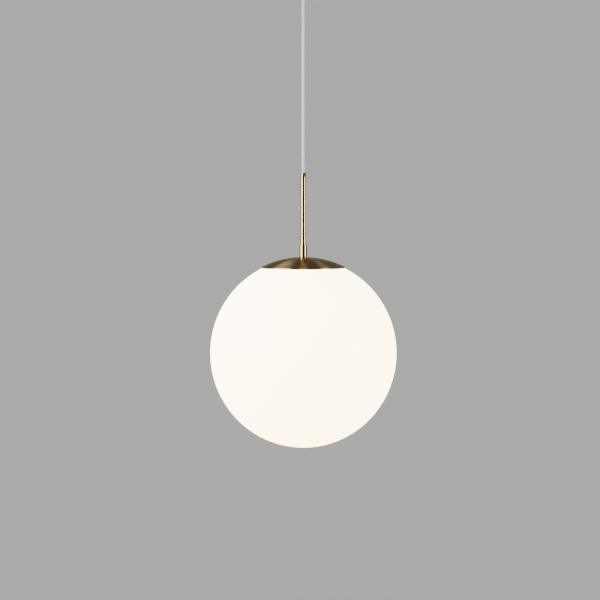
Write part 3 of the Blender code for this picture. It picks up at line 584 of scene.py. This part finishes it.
def make_canopy_screws():
    """Two round-headed slotted screws through the canopy's sides."""
    for node in ("canopy_screw_left", "canopy_screw_right"):
        low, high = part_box(node)
        side = 1 if high.x > 0 else -1
        tip, end = sorted((abs(low.x), abs(high.x)))
        head_radius = (high.z - low.z) / 2
        seat = end - SCREW_HEAD_HEIGHT
        dome = [(head_radius, seat), (head_radius, seat + 0.0010),
                (head_radius * 0.82, end - 0.0005), (head_radius * 0.45, end), (0.0, end)]
        outline = [(0.0, tip), (M4_RADIUS - 0.0005, tip)] + wall(M4_RADIUS, tip + 0.0005, seat)
        bm = revolve(outline + rounded_solid([(0.0, seat)] + dome, 0.0006)[1:], SMALL_FACETS)
        cut_thread(bm, M4_RADIUS, M4_PITCH, THREAD_DEPTH, tip + 0.0006, seat - 0.0005)
        bm = carve(bm, [block(SCREW_SLOT_SIZE, (0, 0, end))])
        bm.transform(Matrix.Translation((0, 0, CANOPY_SCREW_Z))
                     @ Matrix.Rotation(math.radians(90) * side, 4, "Y"))
        add_piece(node + "_slotted", bm, node)


# ---- canopy and what is in it ----
CANOPY_WALL = 0.0012
CANOPY_EDGE_RADIUS = 0.004
CANOPY_BEVEL = 0.0002
M10_RADIUS = 0.005
M10_HOLE_RADIUS = 0.0053
M10_PITCH = 0.001
NUT_THREAD_DEPTH = 0.0003
NUT_FACE_SHARE = 0.47  # radius of the flat face, as a share of the size across flats
NUT_CHAMFER_SLOPE = 1.9
CORD_PIVOT_Z = -0.039
GRIP_BORE_RADIUS = 0.0034
GRIP_MOUTH_FLARE = 0.0021
GRIP_MOUTH_RINGS = 12
GRIP_WAIST_RADIUS = 0.0065
GRIP_FLANGE_TOP_Z = -0.0303
GRIP_FLANGE_HEIGHT = 0.0025
GRIP_FLANGE_FLUTES = 48
GRIP_SCREW_Z = -0.0352
GRIP_SCREW_HOLE_RADIUS = 0.0015
GRUB_PITCH = 0.0005
GRUB_THREAD_DEPTH = 0.0002
GRUB_SLOT_SIZE = (0.0005, 0.01, 0.0014)
POLE_OFFSET = 0.0055
BLOCK_BEVEL = 0.0008
BLOCK_STEP = (0.002, 0.0018)  # depth and height of the step along its front
BLOCK_GROOVE = (0.0012, 0.002)  # width and depth of the groove between its poles
WELL_RADIUS = 0.0024
WELL_DEPTH = 0.0045
WIRE_HOLE_RADIUS = 0.0016
WIRE_HOLE_DEPTH = 0.005
TERMINAL_SLOT_SIZE = (0.0006, 0.01, 0.0016)
TERMINAL_SCREW_TURN = math.radians(35)
CORE_RADIUS = 0.0011
CORE_OFFSET = 0.0014


def cup_side(radius, edge, floor, steps=12):
    """Half outline of a cup's floor and rounded edge, from the hole outwards."""
    points = [(M10_HOLE_RADIUS, floor)]
    for step in range(steps + 1):
        angle = math.radians(90 * step / steps)
        points.append((radius - edge + edge * math.sin(angle),
                       floor + edge - edge * math.cos(angle)))
    return points


def make_canopy():
    """A spun cup with a notch at each side, open to the rim, for the two screws."""
    low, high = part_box("canopy")
    radius, floor, rim = high.x, low.z, high.z
    inner = radius - CANOPY_WALL
    outside = cup_side(radius, CANOPY_EDGE_RADIUS, floor)
    inside = cup_side(inner, CANOPY_EDGE_RADIUS - CANOPY_WALL, floor + CANOPY_WALL)
    lip = [(radius, rim - CANOPY_BEVEL), (radius - CANOPY_BEVEL, rim),
           (inner + CANOPY_BEVEL, rim), (inner, rim - CANOPY_BEVEL)]
    bm = revolve(outside + lip + inside[::-1], LARGE_FACETS)
    notch = [(a, b) for b, a in capsule(CANOPY_SCREW_Z, 0.01, M4_HOLE_RADIUS)]
    add_piece("spun_canopy", carve(bm, [cutter(notch, X_AXES, 4 * radius)]), "canopy")


def make_cord_grip():
    """A turned bush with a bell mouth, a knurled flange and a threaded end inside the canopy."""
    low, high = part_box("cord_grip")
    flange_radius, mouth, top = high.x, low.z, high.z
    bore, waist = GRIP_BORE_RADIUS, GRIP_WAIST_RADIUS
    flange_top = GRIP_FLANGE_TOP_Z
    flange_low = flange_top - GRIP_FLANGE_HEIGHT
    outline = [(bore, top - EDGE)]
    for step in range(GRIP_MOUTH_RINGS + 1):
        t = step / GRIP_MOUTH_RINGS
        outline.append((bore + GRIP_MOUTH_FLARE * t ** 1.3,
                        CORD_PIVOT_Z + (mouth - CORD_PIVOT_Z) * t))
    outline += [(waist - 0.0008, mouth), (waist - EDGE, mouth + 0.0001), (waist, mouth + 0.0006),
                (waist, flange_low - 0.001), (waist + EDGE, flange_low - 0.0004),
                (flange_radius - EDGE, flange_low)]
    outline += wall(flange_radius, flange_low + 0.0002, flange_top - 0.0002, 0.0005)
    outline += [(flange_radius - EDGE, flange_top)] + wall(M10_RADIUS, flange_top, top - EDGE)
    outline += [(M10_RADIUS - EDGE, top), (bore + EDGE, top)]
    bm = revolve(outline, MEDIUM_FACETS * 2)
    cut_thread(bm, M10_RADIUS, M10_PITCH, THREAD_DEPTH, flange_top + 0.0004, top - 0.0004)
    flute(bm, flange_radius, GRIP_FLANGE_FLUTES, 0.00025)
    hole = moved(prism(circle(GRIP_SCREW_HOLE_RADIUS), flange_radius, Y_AXES), (0, 0, GRIP_SCREW_Z))
    add_piece("cord_grip_bush", carve(bm, [hole]), "cord_grip")


def make_nut(node):
    """A hexagon nut with chamfered corners and a threaded bore."""
    low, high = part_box(node)
    bottom, top, bore = low.z, high.z, M10_HOLE_RADIUS
    flats = high.x * 2 * math.cos(math.radians(30))
    face = flats * NUT_FACE_SHARE
    outline = [(bore, bottom + 0.0004), (bore + 0.0004, bottom), (face, bottom)]
    outline += wall(flats, bottom + 0.0001, top - 0.0001)
    outline += [(face, top), (bore + 0.0004, top)] + wall(bore, top - 0.0004, bottom + 0.0006)

    def hexagon(radius, angle, height):
        if radius < flats * 0.9:
            return radius
        side = flats / 2 / math.cos(angle % math.radians(60) - math.radians(30))
        return min(side, face + min(height - bottom, top - height) * NUT_CHAMFER_SLOPE)

    bm = reshape(revolve(outline, MEDIUM_FACETS), hexagon)
    cut_thread(bm, bore, M10_PITCH, -NUT_THREAD_DEPTH, bottom + EDGE, top - EDGE)
    add_piece(node + "_hexagon", bm, node)


def make_grub_screw(node):
    """A short screw across the light, with a slot in the end that faces out."""
    low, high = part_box(node)
    radius, length = (high.x - low.x) / 2, high.y - low.y
    outline = [(0.0, 0.0), (radius - EDGE, 0.0)] + wall(radius, EDGE, length - 0.0002)
    outline += [(radius - 0.0002, length), (0.0, length)]
    bm = revolve(outline, SMALL_FACETS)
    cut_thread(bm, radius, GRUB_PITCH, GRUB_THREAD_DEPTH, EDGE, length)
    bm = carve(bm, [block(GRUB_SLOT_SIZE, (0, 0, length))])
    bm.transform(Matrix.Translation((0, low.y, (low.z + high.z) / 2))
                 @ Matrix.Rotation(math.radians(-90), 4, "X"))
    add_piece(node + "_slotted", bm, node)


def make_terminal_block():
    """A moulded block with wire holes front and back, and a screw down in a well on each pole."""
    low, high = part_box("terminal_block")
    middle, size = (low + high) / 2, high - low
    wire_z = low.z + size.z * 0.35
    groove_width, groove_depth = BLOCK_GROOVE
    cutters = [block((size.x, *BLOCK_STEP), (middle.x, low.y, high.z)),
               block((groove_width, size.y + 0.01, groove_depth), (middle.x, middle.y, high.z))]
    for pole in (-POLE_OFFSET, POLE_OFFSET):
        cutters.append(cutter(circle(WELL_RADIUS), Z_AXES, 2 * WELL_DEPTH,
                              (pole, middle.y, high.z)))
        for face in (low.y, high.y):
            cutters.append(cutter(circle(WIRE_HOLE_RADIUS), Y_AXES, 2 * WIRE_HOLE_DEPTH,
                                  (pole, face, wire_z)))
    body = soften(block(size, middle), BLOCK_BEVEL)
    add_flat_piece("moulded_block", carve(body, cutters), "terminal_block")
    for node in ("terminal_screw_live", "terminal_screw_neutral"):
        low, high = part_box(node)
        middle, radius = (low + high) / 2, (high.x - low.x) / 2
        bm = revolve(rod_outline(radius, low.z, high.z, EDGE), HOLE_FACETS)
        bm = carve(bm, [block(TERMINAL_SLOT_SIZE, (0, 0, high.z))])
        moved(bm, (middle.x, middle.y, 0), TERMINAL_SCREW_TURN)
        add_piece(node + "_slotted", bm, node)
    return wire_z


def make_canopy_wiring(wire_z):
    """The cord's sheath comes in through the grip, and its two cores loop to the terminals."""
    low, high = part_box("cord_in_canopy")
    sheath = rod_outline(CORD_RADIUS, low.z, high.z, 0.0002)
    add_piece("sheath_end", revolve(sheath, SMALL_FACETS), "cord_in_canopy")
    entry_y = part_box("terminal_block")[0].y
    for side, node in ((-1, "live_core"), (1, "neutral_core")):
        start_x, end_x = side * CORE_OFFSET, side * POLE_OFFSET
        route = smooth_route([(start_x, 0, high.z + GAP), (start_x, 0.0006, -0.0115),
                              (side * 0.0026, 0.006, -0.0075), (side * 0.0048, 0.013, -0.0125),
                              (end_x, 0.019, -0.0215), (end_x, entry_y - 0.0025, wire_z),
                              (end_x, entry_y + 0.004, wire_z)])
        add_wire(node, route)


# ---- cord ----
CORD_RADIUS = 0.003
CORD_TOP_Z = -0.0394
CORD_LOW_Z = -0.3831
CORD_RINGS = 120


def make_cord():
    """The free cord, straight between the cord grip and the stem."""
    side = wall(CORD_RADIUS, CORD_LOW_Z, CORD_TOP_Z, (CORD_TOP_Z - CORD_LOW_Z) / CORD_RINGS)
    outline = [(0.0, CORD_LOW_Z)] + side + [(0.0, CORD_TOP_Z)]
    cord = add_piece("pendant_cord", revolve(outline, HOLE_FACETS), "cord")


# ---- stem ----
STEM_BORE_RADIUS = 0.004
STEM_THREAD_SPARE = 0.006  # thread that shows over the upper nut


def make_stem():
    """The brass tube, threaded at its lower end, with the plastic bush and the cord inside."""
    low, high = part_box("stem_tube")
    radius, bottom, top = high.x, low.z, high.z
    thread_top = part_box("upper_nut")[1].z + STEM_THREAD_SPARE
    bore = STEM_BORE_RADIUS
    outline = [(bore, bottom + EDGE), (bore + EDGE, bottom)]
    outline += wall(radius, bottom + 0.0004, thread_top + 0.001)
    outline += wall(radius, thread_top + 0.001, top - EDGE, 0.01)[1:]
    outline += [(radius - 0.0001, top - 0.0001), (radius - EDGE, top), (bore + EDGE, top),
                (bore, top - EDGE)]
    bm = revolve(outline, MEDIUM_FACETS)
    cut_thread(bm, radius, M10_PITCH, THREAD_DEPTH, bottom, thread_top)
    add_piece("stem", bm, "stem_tube")

    add_ring("stem_bush_moulded", "stem_bush", CORD_RADIUS + GAP, 0.0002, SMALL_FACETS)
    low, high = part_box("cord_in_stem")
    sheath = wall(CORD_RADIUS, low.z, high.z, 0.01)
    add_piece("cord_inside", revolve([(0.0, low.z)] + sheath + [(0.0, high.z)], HOLE_FACETS),
              "cord_in_stem")


# ---- dome, collar and gasket ----
CAP_SPHERE_RADIUS = 0.175
CAP_LIP_HEIGHT = 0.0019
CAP_LIP_LEAN = 0.0005
CAP_WALL = 0.001
CAP_RINGS = 36
COLLAR_SCREW_HOLE_RADIUS = 0.0016
GASKET_INNER_RADIUS = 0.064


def make_cap():
    """A thin spun dome with a narrow lip that flares a little."""
    low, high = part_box("top_cap")
    rim_radius, rim = high.x, low.z
    middle = rim + CAP_LIP_HEIGHT - math.sqrt(CAP_SPHERE_RADIUS ** 2 - rim_radius ** 2)
    arcs = []
    for thin, edge in ((0.0, rim_radius - CAP_LIP_LEAN), (CAP_WALL, rim_radius - CAP_WALL)):
        arc = []
        for step in range(CAP_RINGS + 1):
            radius = M10_HOLE_RADIUS + (edge - M10_HOLE_RADIUS) * step / CAP_RINGS
            arc.append((radius, middle + math.sqrt((CAP_SPHERE_RADIUS - thin) ** 2 - radius ** 2)))
        arcs.append(arc)
    inner = rim_radius - CAP_WALL
    lip = [(rim_radius, rim + EDGE), (rim_radius - 0.0001, rim + 0.0001),
           (rim_radius - EDGE, rim), (inner + EDGE, rim), (inner, rim + EDGE)]
    add_piece("cap_dome", revolve(arcs[0] + lip + arcs[1][::-1], LARGE_FACETS), "top_cap")


def make_collar():
    """A brass sleeve with broken edges and a screw in its back."""
    low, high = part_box("collar")
    outline = rounded(tube_outline(M10_HOLE_RADIUS, high.x, low.z, high.z), 0.0005)
    hole = moved(prism(circle(COLLAR_SCREW_HOLE_RADIUS), 2 * high.x, Y_AXES),
                 (0, 0, (low.z + high.z) / 2))
    add_piece("collar_sleeve", carve(revolve(outline, MEDIUM_FACETS), [hole]), "collar")


def make_gasket():
    """A silicone ring with a raised lip at each side."""
    low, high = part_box("cap_gasket")
    inner, outer, bottom, top = GASKET_INNER_RADIUS, high.x, low.z, high.z
    third = (outer - inner) / 3
    outline = [(inner, bottom), (inner + third, bottom + EDGE), (outer - third, bottom + EDGE),
               (outer, bottom), (outer, bottom + (top - bottom) * 0.6), (outer - 0.001, top),
               (inner, top)]
    add_piece("gasket_ring", revolve(rounded(outline, 0.0004), LARGE_FACETS), "cap_gasket")


# ---- globe ----
GLOBE_CENTRE_Z = -0.7176
GLASS_THICKNESS = 0.0025
LEDGE_OPENING_RADIUS = 0.062
LEDGE_OUTER_RADIUS = 0.0785
SHOULDER_DROP = 0.004
GLOBE_RINGS = 72


def glass_side(radius, half_height, start_z):
    """The glass's half outline from a height down to the bottom."""
    first = math.acos((start_z - GLOBE_CENTRE_Z) / half_height)
    return arc_down(radius, half_height, GLOBE_CENTRE_Z, first, GLOBE_RINGS)


def make_globe():
    """Blown glass whose opening is turned in as a fire-polished ledge."""
    low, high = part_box("globe")
    radius, top, half_height = high.x, high.z, GLOBE_CENTRE_Z - low.z
    ledge_low = top - GLASS_THICKNESS
    outside = glass_side(radius, half_height, top - SHOULDER_DROP)
    inside = glass_side(radius - GLASS_THICKNESS, half_height - GLASS_THICKNESS,
                        ledge_low - 0.0022)
    ledge = [(LEDGE_OUTER_RADIUS + 0.0023, top - 0.0018),
             (LEDGE_OUTER_RADIUS + 0.0010, top - 0.0006), (LEDGE_OUTER_RADIUS, top),
             (LEDGE_OPENING_RADIUS, top), (LEDGE_OPENING_RADIUS, ledge_low),
             (inside[0][0] - 0.004, ledge_low)]
    edge = rounded([outside[0]] + ledge + [inside[0]], 0.0011, 5)[5:-5]
    add_piece("globe_glass", revolve(outside[::-1] + edge + inside, LARGE_FACETS), "globe")


# ---- holder plate and catches ----
CATCH_CIRCLE_RADIUS = 0.048
CATCH_ANGLES = (90, 210, 330)
VENT_RADIUS = 0.032
VENT_HALF_WIDTH = 0.0035
VENT_HALF_ANGLE = math.radians(22)
THROUGH = 0.008  # long enough to cut right through the plate or a tab
KNOB_RADIUS = 0.0065
KNOB_FACETS = 144
KNOB_FLUTES = 18
KNOB_FLUTE_DEPTH = 0.0005
KNOB_SLOT_SIZE = (0.009, 0.0012, 0.002)
TAB_REACH = 0.0155
TAB_HALF_WIDTH = 0.0045
PAD_START = 0.0115
PAD_HALF_WIDTH = 0.0035


def catch_spots():
    """The turn and the place on the plate of each catch."""
    for degrees in CATCH_ANGLES:
        turn = math.radians(degrees)
        yield turn, CATCH_CIRCLE_RADIUS * math.cos(turn), CATCH_CIRCLE_RADIUS * math.sin(turn)


def arc_slot(steps=24):
    """A curved vent hole's outline."""
    angles = [VENT_HALF_ANGLE * (2 * step / steps - 1) for step in range(steps + 1)]
    outer, inner = VENT_RADIUS + VENT_HALF_WIDTH, VENT_RADIUS - VENT_HALF_WIDTH
    out = [(outer * math.cos(angle), outer * math.sin(angle)) for angle in angles]
    back = [(inner * math.cos(angle), inner * math.sin(angle)) for angle in reversed(angles)]
    return rounded(out + back, 0.0015, 3)


def make_plate():
    """A pressed disc with three vents and three holes for the catches, and its washer."""
    low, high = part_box("holder_plate")
    middle_z = (low.z + high.z) / 2
    bm = moved(prism(circle(high.x, LARGE_FACETS), high.z - low.z, Z_AXES), (0, 0, low.z))
    cutters = [cutter(circle(M10_HOLE_RADIUS), Z_AXES, THROUGH, (0, 0, middle_z))]
    for turn, x, y in catch_spots():
        cutters.append(cutter(circle(M4_HOLE_RADIUS), Z_AXES, THROUGH, (x, y, middle_z)))
        cutters.append(cutter(arc_slot(), Z_AXES, THROUGH, (0, 0, middle_z), turn + math.pi))
    add_flat_piece("pressed_plate", soften(carve(bm, cutters), 0.0002), "holder_plate")
    add_ring("flat_washer", "washer", M10_HOLE_RADIUS, EDGE, MEDIUM_FACETS)


def make_catches():
    """Each catch is a fluted knob over the plate, with a padded steel tab under the glass."""
    knob_low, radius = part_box("holder_plate")[1].z + GAP, KNOB_RADIUS
    for number, (turn, x, y) in enumerate(catch_spots(), 1):
        knob, tab, pad = (f"catch_{part}_{number}" for part in ("knob", "tab", "pad"))
        low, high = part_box(knob)
        top = high.z
        outline = [(0.0, low.z), (M4_RADIUS - EDGE, low.z)]
        outline += wall(M4_RADIUS, low.z + EDGE, knob_low, 0.001)
        outline += [(radius - 0.0006, knob_low), (radius - 0.0002, knob_low + 0.0002)]
        outline += wall(radius, knob_low + 0.0006, top - 0.0008, 0.002)
        outline += [(radius - EDGE, top - EDGE), (radius - 0.0009, top), (0.0, top)]
        bm = revolve(outline, KNOB_FACETS)
        flute(bm, radius, KNOB_FLUTES, KNOB_FLUTE_DEPTH, 0.001)
        bm = carve(bm, [block(KNOB_SLOT_SIZE, (0, 0, top))])
        add_piece(f"fluted_knob_{number}", moved(bm, (x, y, 0), turn), knob)

        low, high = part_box(tab)
        bm = prism(capsule(0.0, TAB_REACH, TAB_HALF_WIDTH), high.z - low.z, Z_AXES)
        bm = carve(bm, [cutter(circle(M4_RADIUS + GAP), Z_AXES, THROUGH)])
        moved(soften(bm, 0.0002), (x, y, low.z), turn)
        add_flat_piece(f"steel_tab_{number}", bm, tab)

        low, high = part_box(pad)
        bm = prism(capsule(PAD_START, TAB_REACH, PAD_HALF_WIDTH), high.z - low.z, Z_AXES)
        moved(soften(bm, EDGE), (x, y, low.z), turn)
        add_flat_piece(f"soft_pad_{number}", bm, pad)


# ---- lampholder ----
HOLDER_WALL = 0.0016
HOLDER_NECK_RADIUS = 0.0085
HOLDER_NECK_HEIGHT = 0.006
HOLDER_CAP_FACETS = 216
HOLDER_RIBS = 36
RIB_DEPTH = 0.0004
SKIRT_PITCH = 0.0025
SKIRT_THREAD_DEPTH = 0.0007
SHELL_WALL = 0.0006
SHELL_THREAD_DEPTH = 0.0005
E27_PITCH = 0.0036
LEAD_SPREAD = 0.009


def make_lampholder():
    """A ribbed cap over the leads, a skirt threaded for a shade ring, and the parts inside."""
    low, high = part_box("holder_cap")
    top, radius, thin = high.z, high.x, HOLDER_WALL
    neck = top - HOLDER_NECK_HEIGHT
    corners = [  # radius, height and rounding
        (M10_HOLE_RADIUS, top, EDGE), (HOLDER_NECK_RADIUS, top, 0.0005),
        (HOLDER_NECK_RADIUS, neck, 0.0015), (radius - 0.006, neck - 0.003, 0.002),
        (radius - 0.0015, neck - 0.0075, 0.002), (radius, neck - 0.012, 0.001),
        (radius, low.z, 0.0), (radius - thin, low.z, 0.0002),
        (radius - thin, neck - 0.012, 0.001), (radius - 0.0015 - thin, neck - 0.0085, 0.002),
        (radius - 0.006 - thin, neck - 0.0048, 0.001), (M10_HOLE_RADIUS, neck - 0.003, EDGE)]
    outline = rounded([corner[:2] for corner in corners], [corner[2] for corner in corners], 6)
    bm = flute(revolve(outline, HOLDER_CAP_FACETS), radius, HOLDER_RIBS, RIB_DEPTH)
    add_piece("ribbed_cap", bm, "holder_cap")

    low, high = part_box("holder_skirt")
    bottom, top, radius = low.z, high.z, high.x
    lip = ((0.0002, 0.0035), (0.0008, 0.0003), (0.0012, 0.0), (0.0034, 0.0), (0.0036, 0.0002),
           (0.003, 0.004), (thin, 0.006))
    outline = [(radius - thin, top)] + wall(radius, top, bottom + 0.006)
    outline += [(radius - inset, bottom + rise) for inset, rise in lip]
    bm = revolve(outline, MEDIUM_FACETS)
    cut_thread(bm, radius, SKIRT_PITCH, SKIRT_THREAD_DEPTH, bottom + 0.010, top - 0.004)
    add_piece("threaded_skirt", bm, "holder_skirt")

    add_rod("ceramic_insert", "holder_insert", 0.0005, MEDIUM_FACETS)

    low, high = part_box("thread_shell")
    outer, inner = high.x, high.x - SHELL_WALL
    shell = revolve(wall(outer, low.z, high.z, 0.0003) + wall(inner, high.z, low.z, 0.0003),
                    MEDIUM_FACETS)
    for crest in (outer, inner):
        cut_thread(shell, crest, E27_PITCH, SHELL_THREAD_DEPTH, low.z, high.z)
    add_piece("rolled_shell", shell, "thread_shell")

    low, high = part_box("centre_contact")
    strip = [(-0.006, 0.0), (-0.0035, -0.0032), (0.0035, -0.0032), (0.006, 0.0), (0.0048, 0.0),
             (0.0030, -0.0024), (-0.0030, -0.0024), (-0.0048, 0.0)]
    bm = moved(prism(rounded(strip, 0.0004, 3), high.y - low.y, Y_AXES), (0, low.y, high.z))
    add_piece("sprung_contact", bm, "centre_contact")

    start_z, end_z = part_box("stem_tube")[0].z - GAP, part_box("holder_insert")[1].z + GAP
    for side, node in ((-1, "live_lead"), (1, "neutral_lead")):
        start = Vector((side * CORE_OFFSET, 0, start_z))
        end = Vector((side * LEAD_SPREAD, 0, end_z))
        bare = Vector((0, 0, 0.002))
        route = smooth_route([start, start - bare, start.lerp(end, 0.5), end + bare,
                              end + bare / 4])
        add_wire(node, route)


# ---- bulb ----
INSULATOR_TIP_RADIUS = 0.0051
BASE_THREAD_DEPTH = 0.0009
BULB_NECK_RADIUS = 0.0140
HOUSING_RINGS = 40
HOUSING_GROOVE = (0.90, 0.94)  # where it lies, as shares of the housing's length from the top
HOUSING_GROOVE_DEPTH = 0.0003
ENVELOPE_WALL = 0.0012
ENVELOPE_RINGS = 40
CHIP_COUNT = 12
CHIP_SIZE = (0.0028, 0.0035, 0.0007)
CHIP_CIRCLE_RADIUS = 0.0135


def make_bulb():
    """An E27 bulb: rolled screw base, plastic housing, a board of LEDs and a frosted envelope."""
    contact_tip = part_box("bulb_contact")[1].x * 0.7
    for name, node, tip, edge in (
            ("domed_contact", "bulb_contact", contact_tip, 0.0006),
            ("glass_insulator", "bulb_insulator", INSULATOR_TIP_RADIUS, 0.0005)):
        low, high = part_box(node)
        outline = [(0.0, high.z), (tip, high.z), (high.x, low.z), (0.0, low.z)]
        add_piece(name, revolve(rounded_solid(outline, edge), SMALL_FACETS), node)

    low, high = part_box("bulb_base")
    radius, bottom, top = high.x, low.z, high.z
    outline = [(0.0, top), (radius - 0.0020, top), (radius - 0.0008, top - 0.0005)]
    outline += wall(radius, top - 0.0010, bottom + 0.0002, 0.0003)
    outline += [(radius - 0.0002, bottom), (0.0, bottom)]
    bm = revolve(outline, MEDIUM_FACETS)
    cut_thread(bm, radius, E27_PITCH, BASE_THREAD_DEPTH, bottom + 0.0030, top - 0.0010)
    add_piece("rolled_base", bm, "bulb_base")

    low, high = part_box("bulb_housing")
    neck, shoulder, length = BULB_NECK_RADIUS, high.x, high.z - low.z
    outline = [(0.0, high.z)]
    for step in range(HOUSING_RINGS + 1):
        t = step / HOUSING_RINGS
        groove = HOUSING_GROOVE_DEPTH if HOUSING_GROOVE[0] < t < HOUSING_GROOVE[1] else 0.0
        outline.append((neck + (shoulder - neck) * t ** 1.4 - groove, high.z - length * t))
    outline.append((0.0, low.z))
    add_piece("bulb_housing_moulded", revolve(outline, MEDIUM_FACETS), "bulb_housing")

    add_rod("led_board", "bulb_led_board", EDGE, MEDIUM_FACETS)
    chip_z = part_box("bulb_led_board")[0].z - 0.00034
    chips = bmesh.new()
    for number in range(CHIP_COUNT):
        turn = Matrix.Rotation(2 * math.pi * number / CHIP_COUNT, 4, "Z")
        place = Matrix.Translation((CHIP_CIRCLE_RADIUS, 0, chip_z))
        size = Matrix.Diagonal((*CHIP_SIZE, 1.0))
        bmesh.ops.create_cube(chips, size=1.0, matrix=turn @ place @ size)
    add_piece("led_chips", chips, "bulb_led_board", material=plain("phosphor", *PHOSPHOR))

    low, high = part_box("bulb_envelope")
    radius = high.x
    centre = low.z + radius
    first = math.acos((high.z - centre) / radius)
    outside, inside = (arc_down(size, size, centre, first, ENVELOPE_RINGS)
                       for size in (radius, radius - ENVELOPE_WALL))
    inside[0] = (inside[0][0] - 0.0004, high.z)
    add_piece("frosted_envelope", revolve(outside[::-1] + inside, MEDIUM_FACETS), "bulb_envelope")


# ---- camera, light and stage ----
def make_camera():
    data = bpy.data.cameras.new("camera")
    data.sensor_width = CAMERA_SENSOR_WIDTH
    data.lens = CAMERA_LENS
    camera = new_object("camera", data)
    camera.location = CAMERA_PLACE
    camera.rotation_euler = (math.radians(90) - CAMERA_PITCH_DOWN, 0.0, 0.0)
    bpy.context.scene.camera = camera


def make_world():
    """Even pale grey at the horizon and below, darker overhead."""
    world = bpy.data.worlds.new("studio")
    bpy.context.scene.world = world
    world.use_nodes = True
    tree = world.node_tree
    background = tree.nodes["Background"]
    coordinates = tree.nodes.new("ShaderNodeTexCoord")
    parts = tree.nodes.new("ShaderNodeSeparateXYZ")
    tree.links.new(coordinates.outputs["Generated"], parts.inputs[0])
    ramp = tree.nodes.new("ShaderNodeValToRGB")
    tree.links.new(parts.outputs[2], ramp.inputs["Fac"])
    set_stops(ramp.color_ramp.elements, SKY_STOPS)
    tree.links.new(ramp.outputs["Color"], background.inputs["Color"])
    background.inputs["Strength"].default_value = LEVEL


def aim(obj, azimuth, elevation, distance):
    """Face an object to the stem. Azimuth 0 is the camera's side, and it grows to the right."""
    turn, rise = math.radians(azimuth), math.radians(elevation)
    away = Vector((math.sin(turn) * math.cos(rise), -math.cos(turn) * math.cos(rise),
                   math.sin(rise)))
    obj.location = LIGHT_AIM + away * distance
    obj.rotation_mode = "QUATERNION"
    obj.rotation_quaternion = away.to_track_quat("Z", "Y")


def softbox(name, azimuth, elevation, width, height, level):
    """An area light that the camera doesn't see."""
    data = bpy.data.lights.new(name, "AREA")
    data.shape = "RECTANGLE"
    data.size = width
    data.size_y = height
    data.energy = level * LEVEL * math.pi * width * height
    light = new_object(name, data)
    light.visible_camera = False
    aim(light, azimuth, elevation, LIGHT_DISTANCE)


def reflected_card(name, azimuth, width, height, distance, level):
    """A card of one grey that only reflections see."""
    bm = bmesh.new()
    bmesh.ops.create_grid(bm, x_segments=1, y_segments=1, size=0.5)
    bm.transform(Matrix.Diagonal((width, height, 1.0, 1.0)))
    card = new_object(name, to_mesh(name, bm))
    aim(card, azimuth, 0, distance)
    shader = Shader(name, (0.0, 0.0, 0.0), 1.0)
    shader.set("Specular IOR Level", 0.0)
    shader.set("Emission Color", (1.0, 1.0, 0.97, 1.0))
    shader.set("Emission Strength", level * LEVEL)
    card.data.materials.append(shader.material)
    for ray in ("camera", "diffuse", "shadow", "transmission"):
        setattr(card, "visible_" + ray, False)


def make_floor():
    """A pale round floor that fades out into the grey round it."""
    bm = bmesh.new()
    bmesh.ops.create_circle(bm, cap_ends=True, segments=128, radius=FLOOR_RADIUS)
    floor = new_object("floor", to_mesh("floor", bm))
    floor.location.z = FLOOR_Z
    shader = Shader("floor", (0.80, 0.80, 0.78), 0.9)
    radius, _, _ = shader.polar()
    shader.link(shader.spread(radius, 1.0, 0.0, FLOOR_FADE_RADIUS, FLOOR_RADIUS), "Alpha")
    floor.data.materials.append(shader.material)


def make_studio():
    view = bpy.context.scene.view_settings
    view.view_transform = "AgX"
    view.look = "AgX - High Contrast"
    view.exposure = EXPOSURE_STOPS
    make_world()
    for row in SOFTBOXES:
        softbox(*row)
    for row in REFLECTED_CARDS:
        reflected_card(*row)
    make_floor()


make_camera()
MATERIALS = make_materials()
make_cord()
make_bracket()
make_canopy_screws()
make_canopy()
make_cord_grip()
make_canopy_wiring(make_terminal_block())
for nut in ("cord_grip_nut", "upper_nut", "lower_nut"):
    make_nut(nut)
for screw in ("cord_grip_screw", "collar_screw"):
    make_grub_screw(screw)
make_stem()
make_cap()
make_collar()
make_gasket()
make_globe()
make_plate()
make_catches()
make_lampholder()
make_bulb()
make_studio()
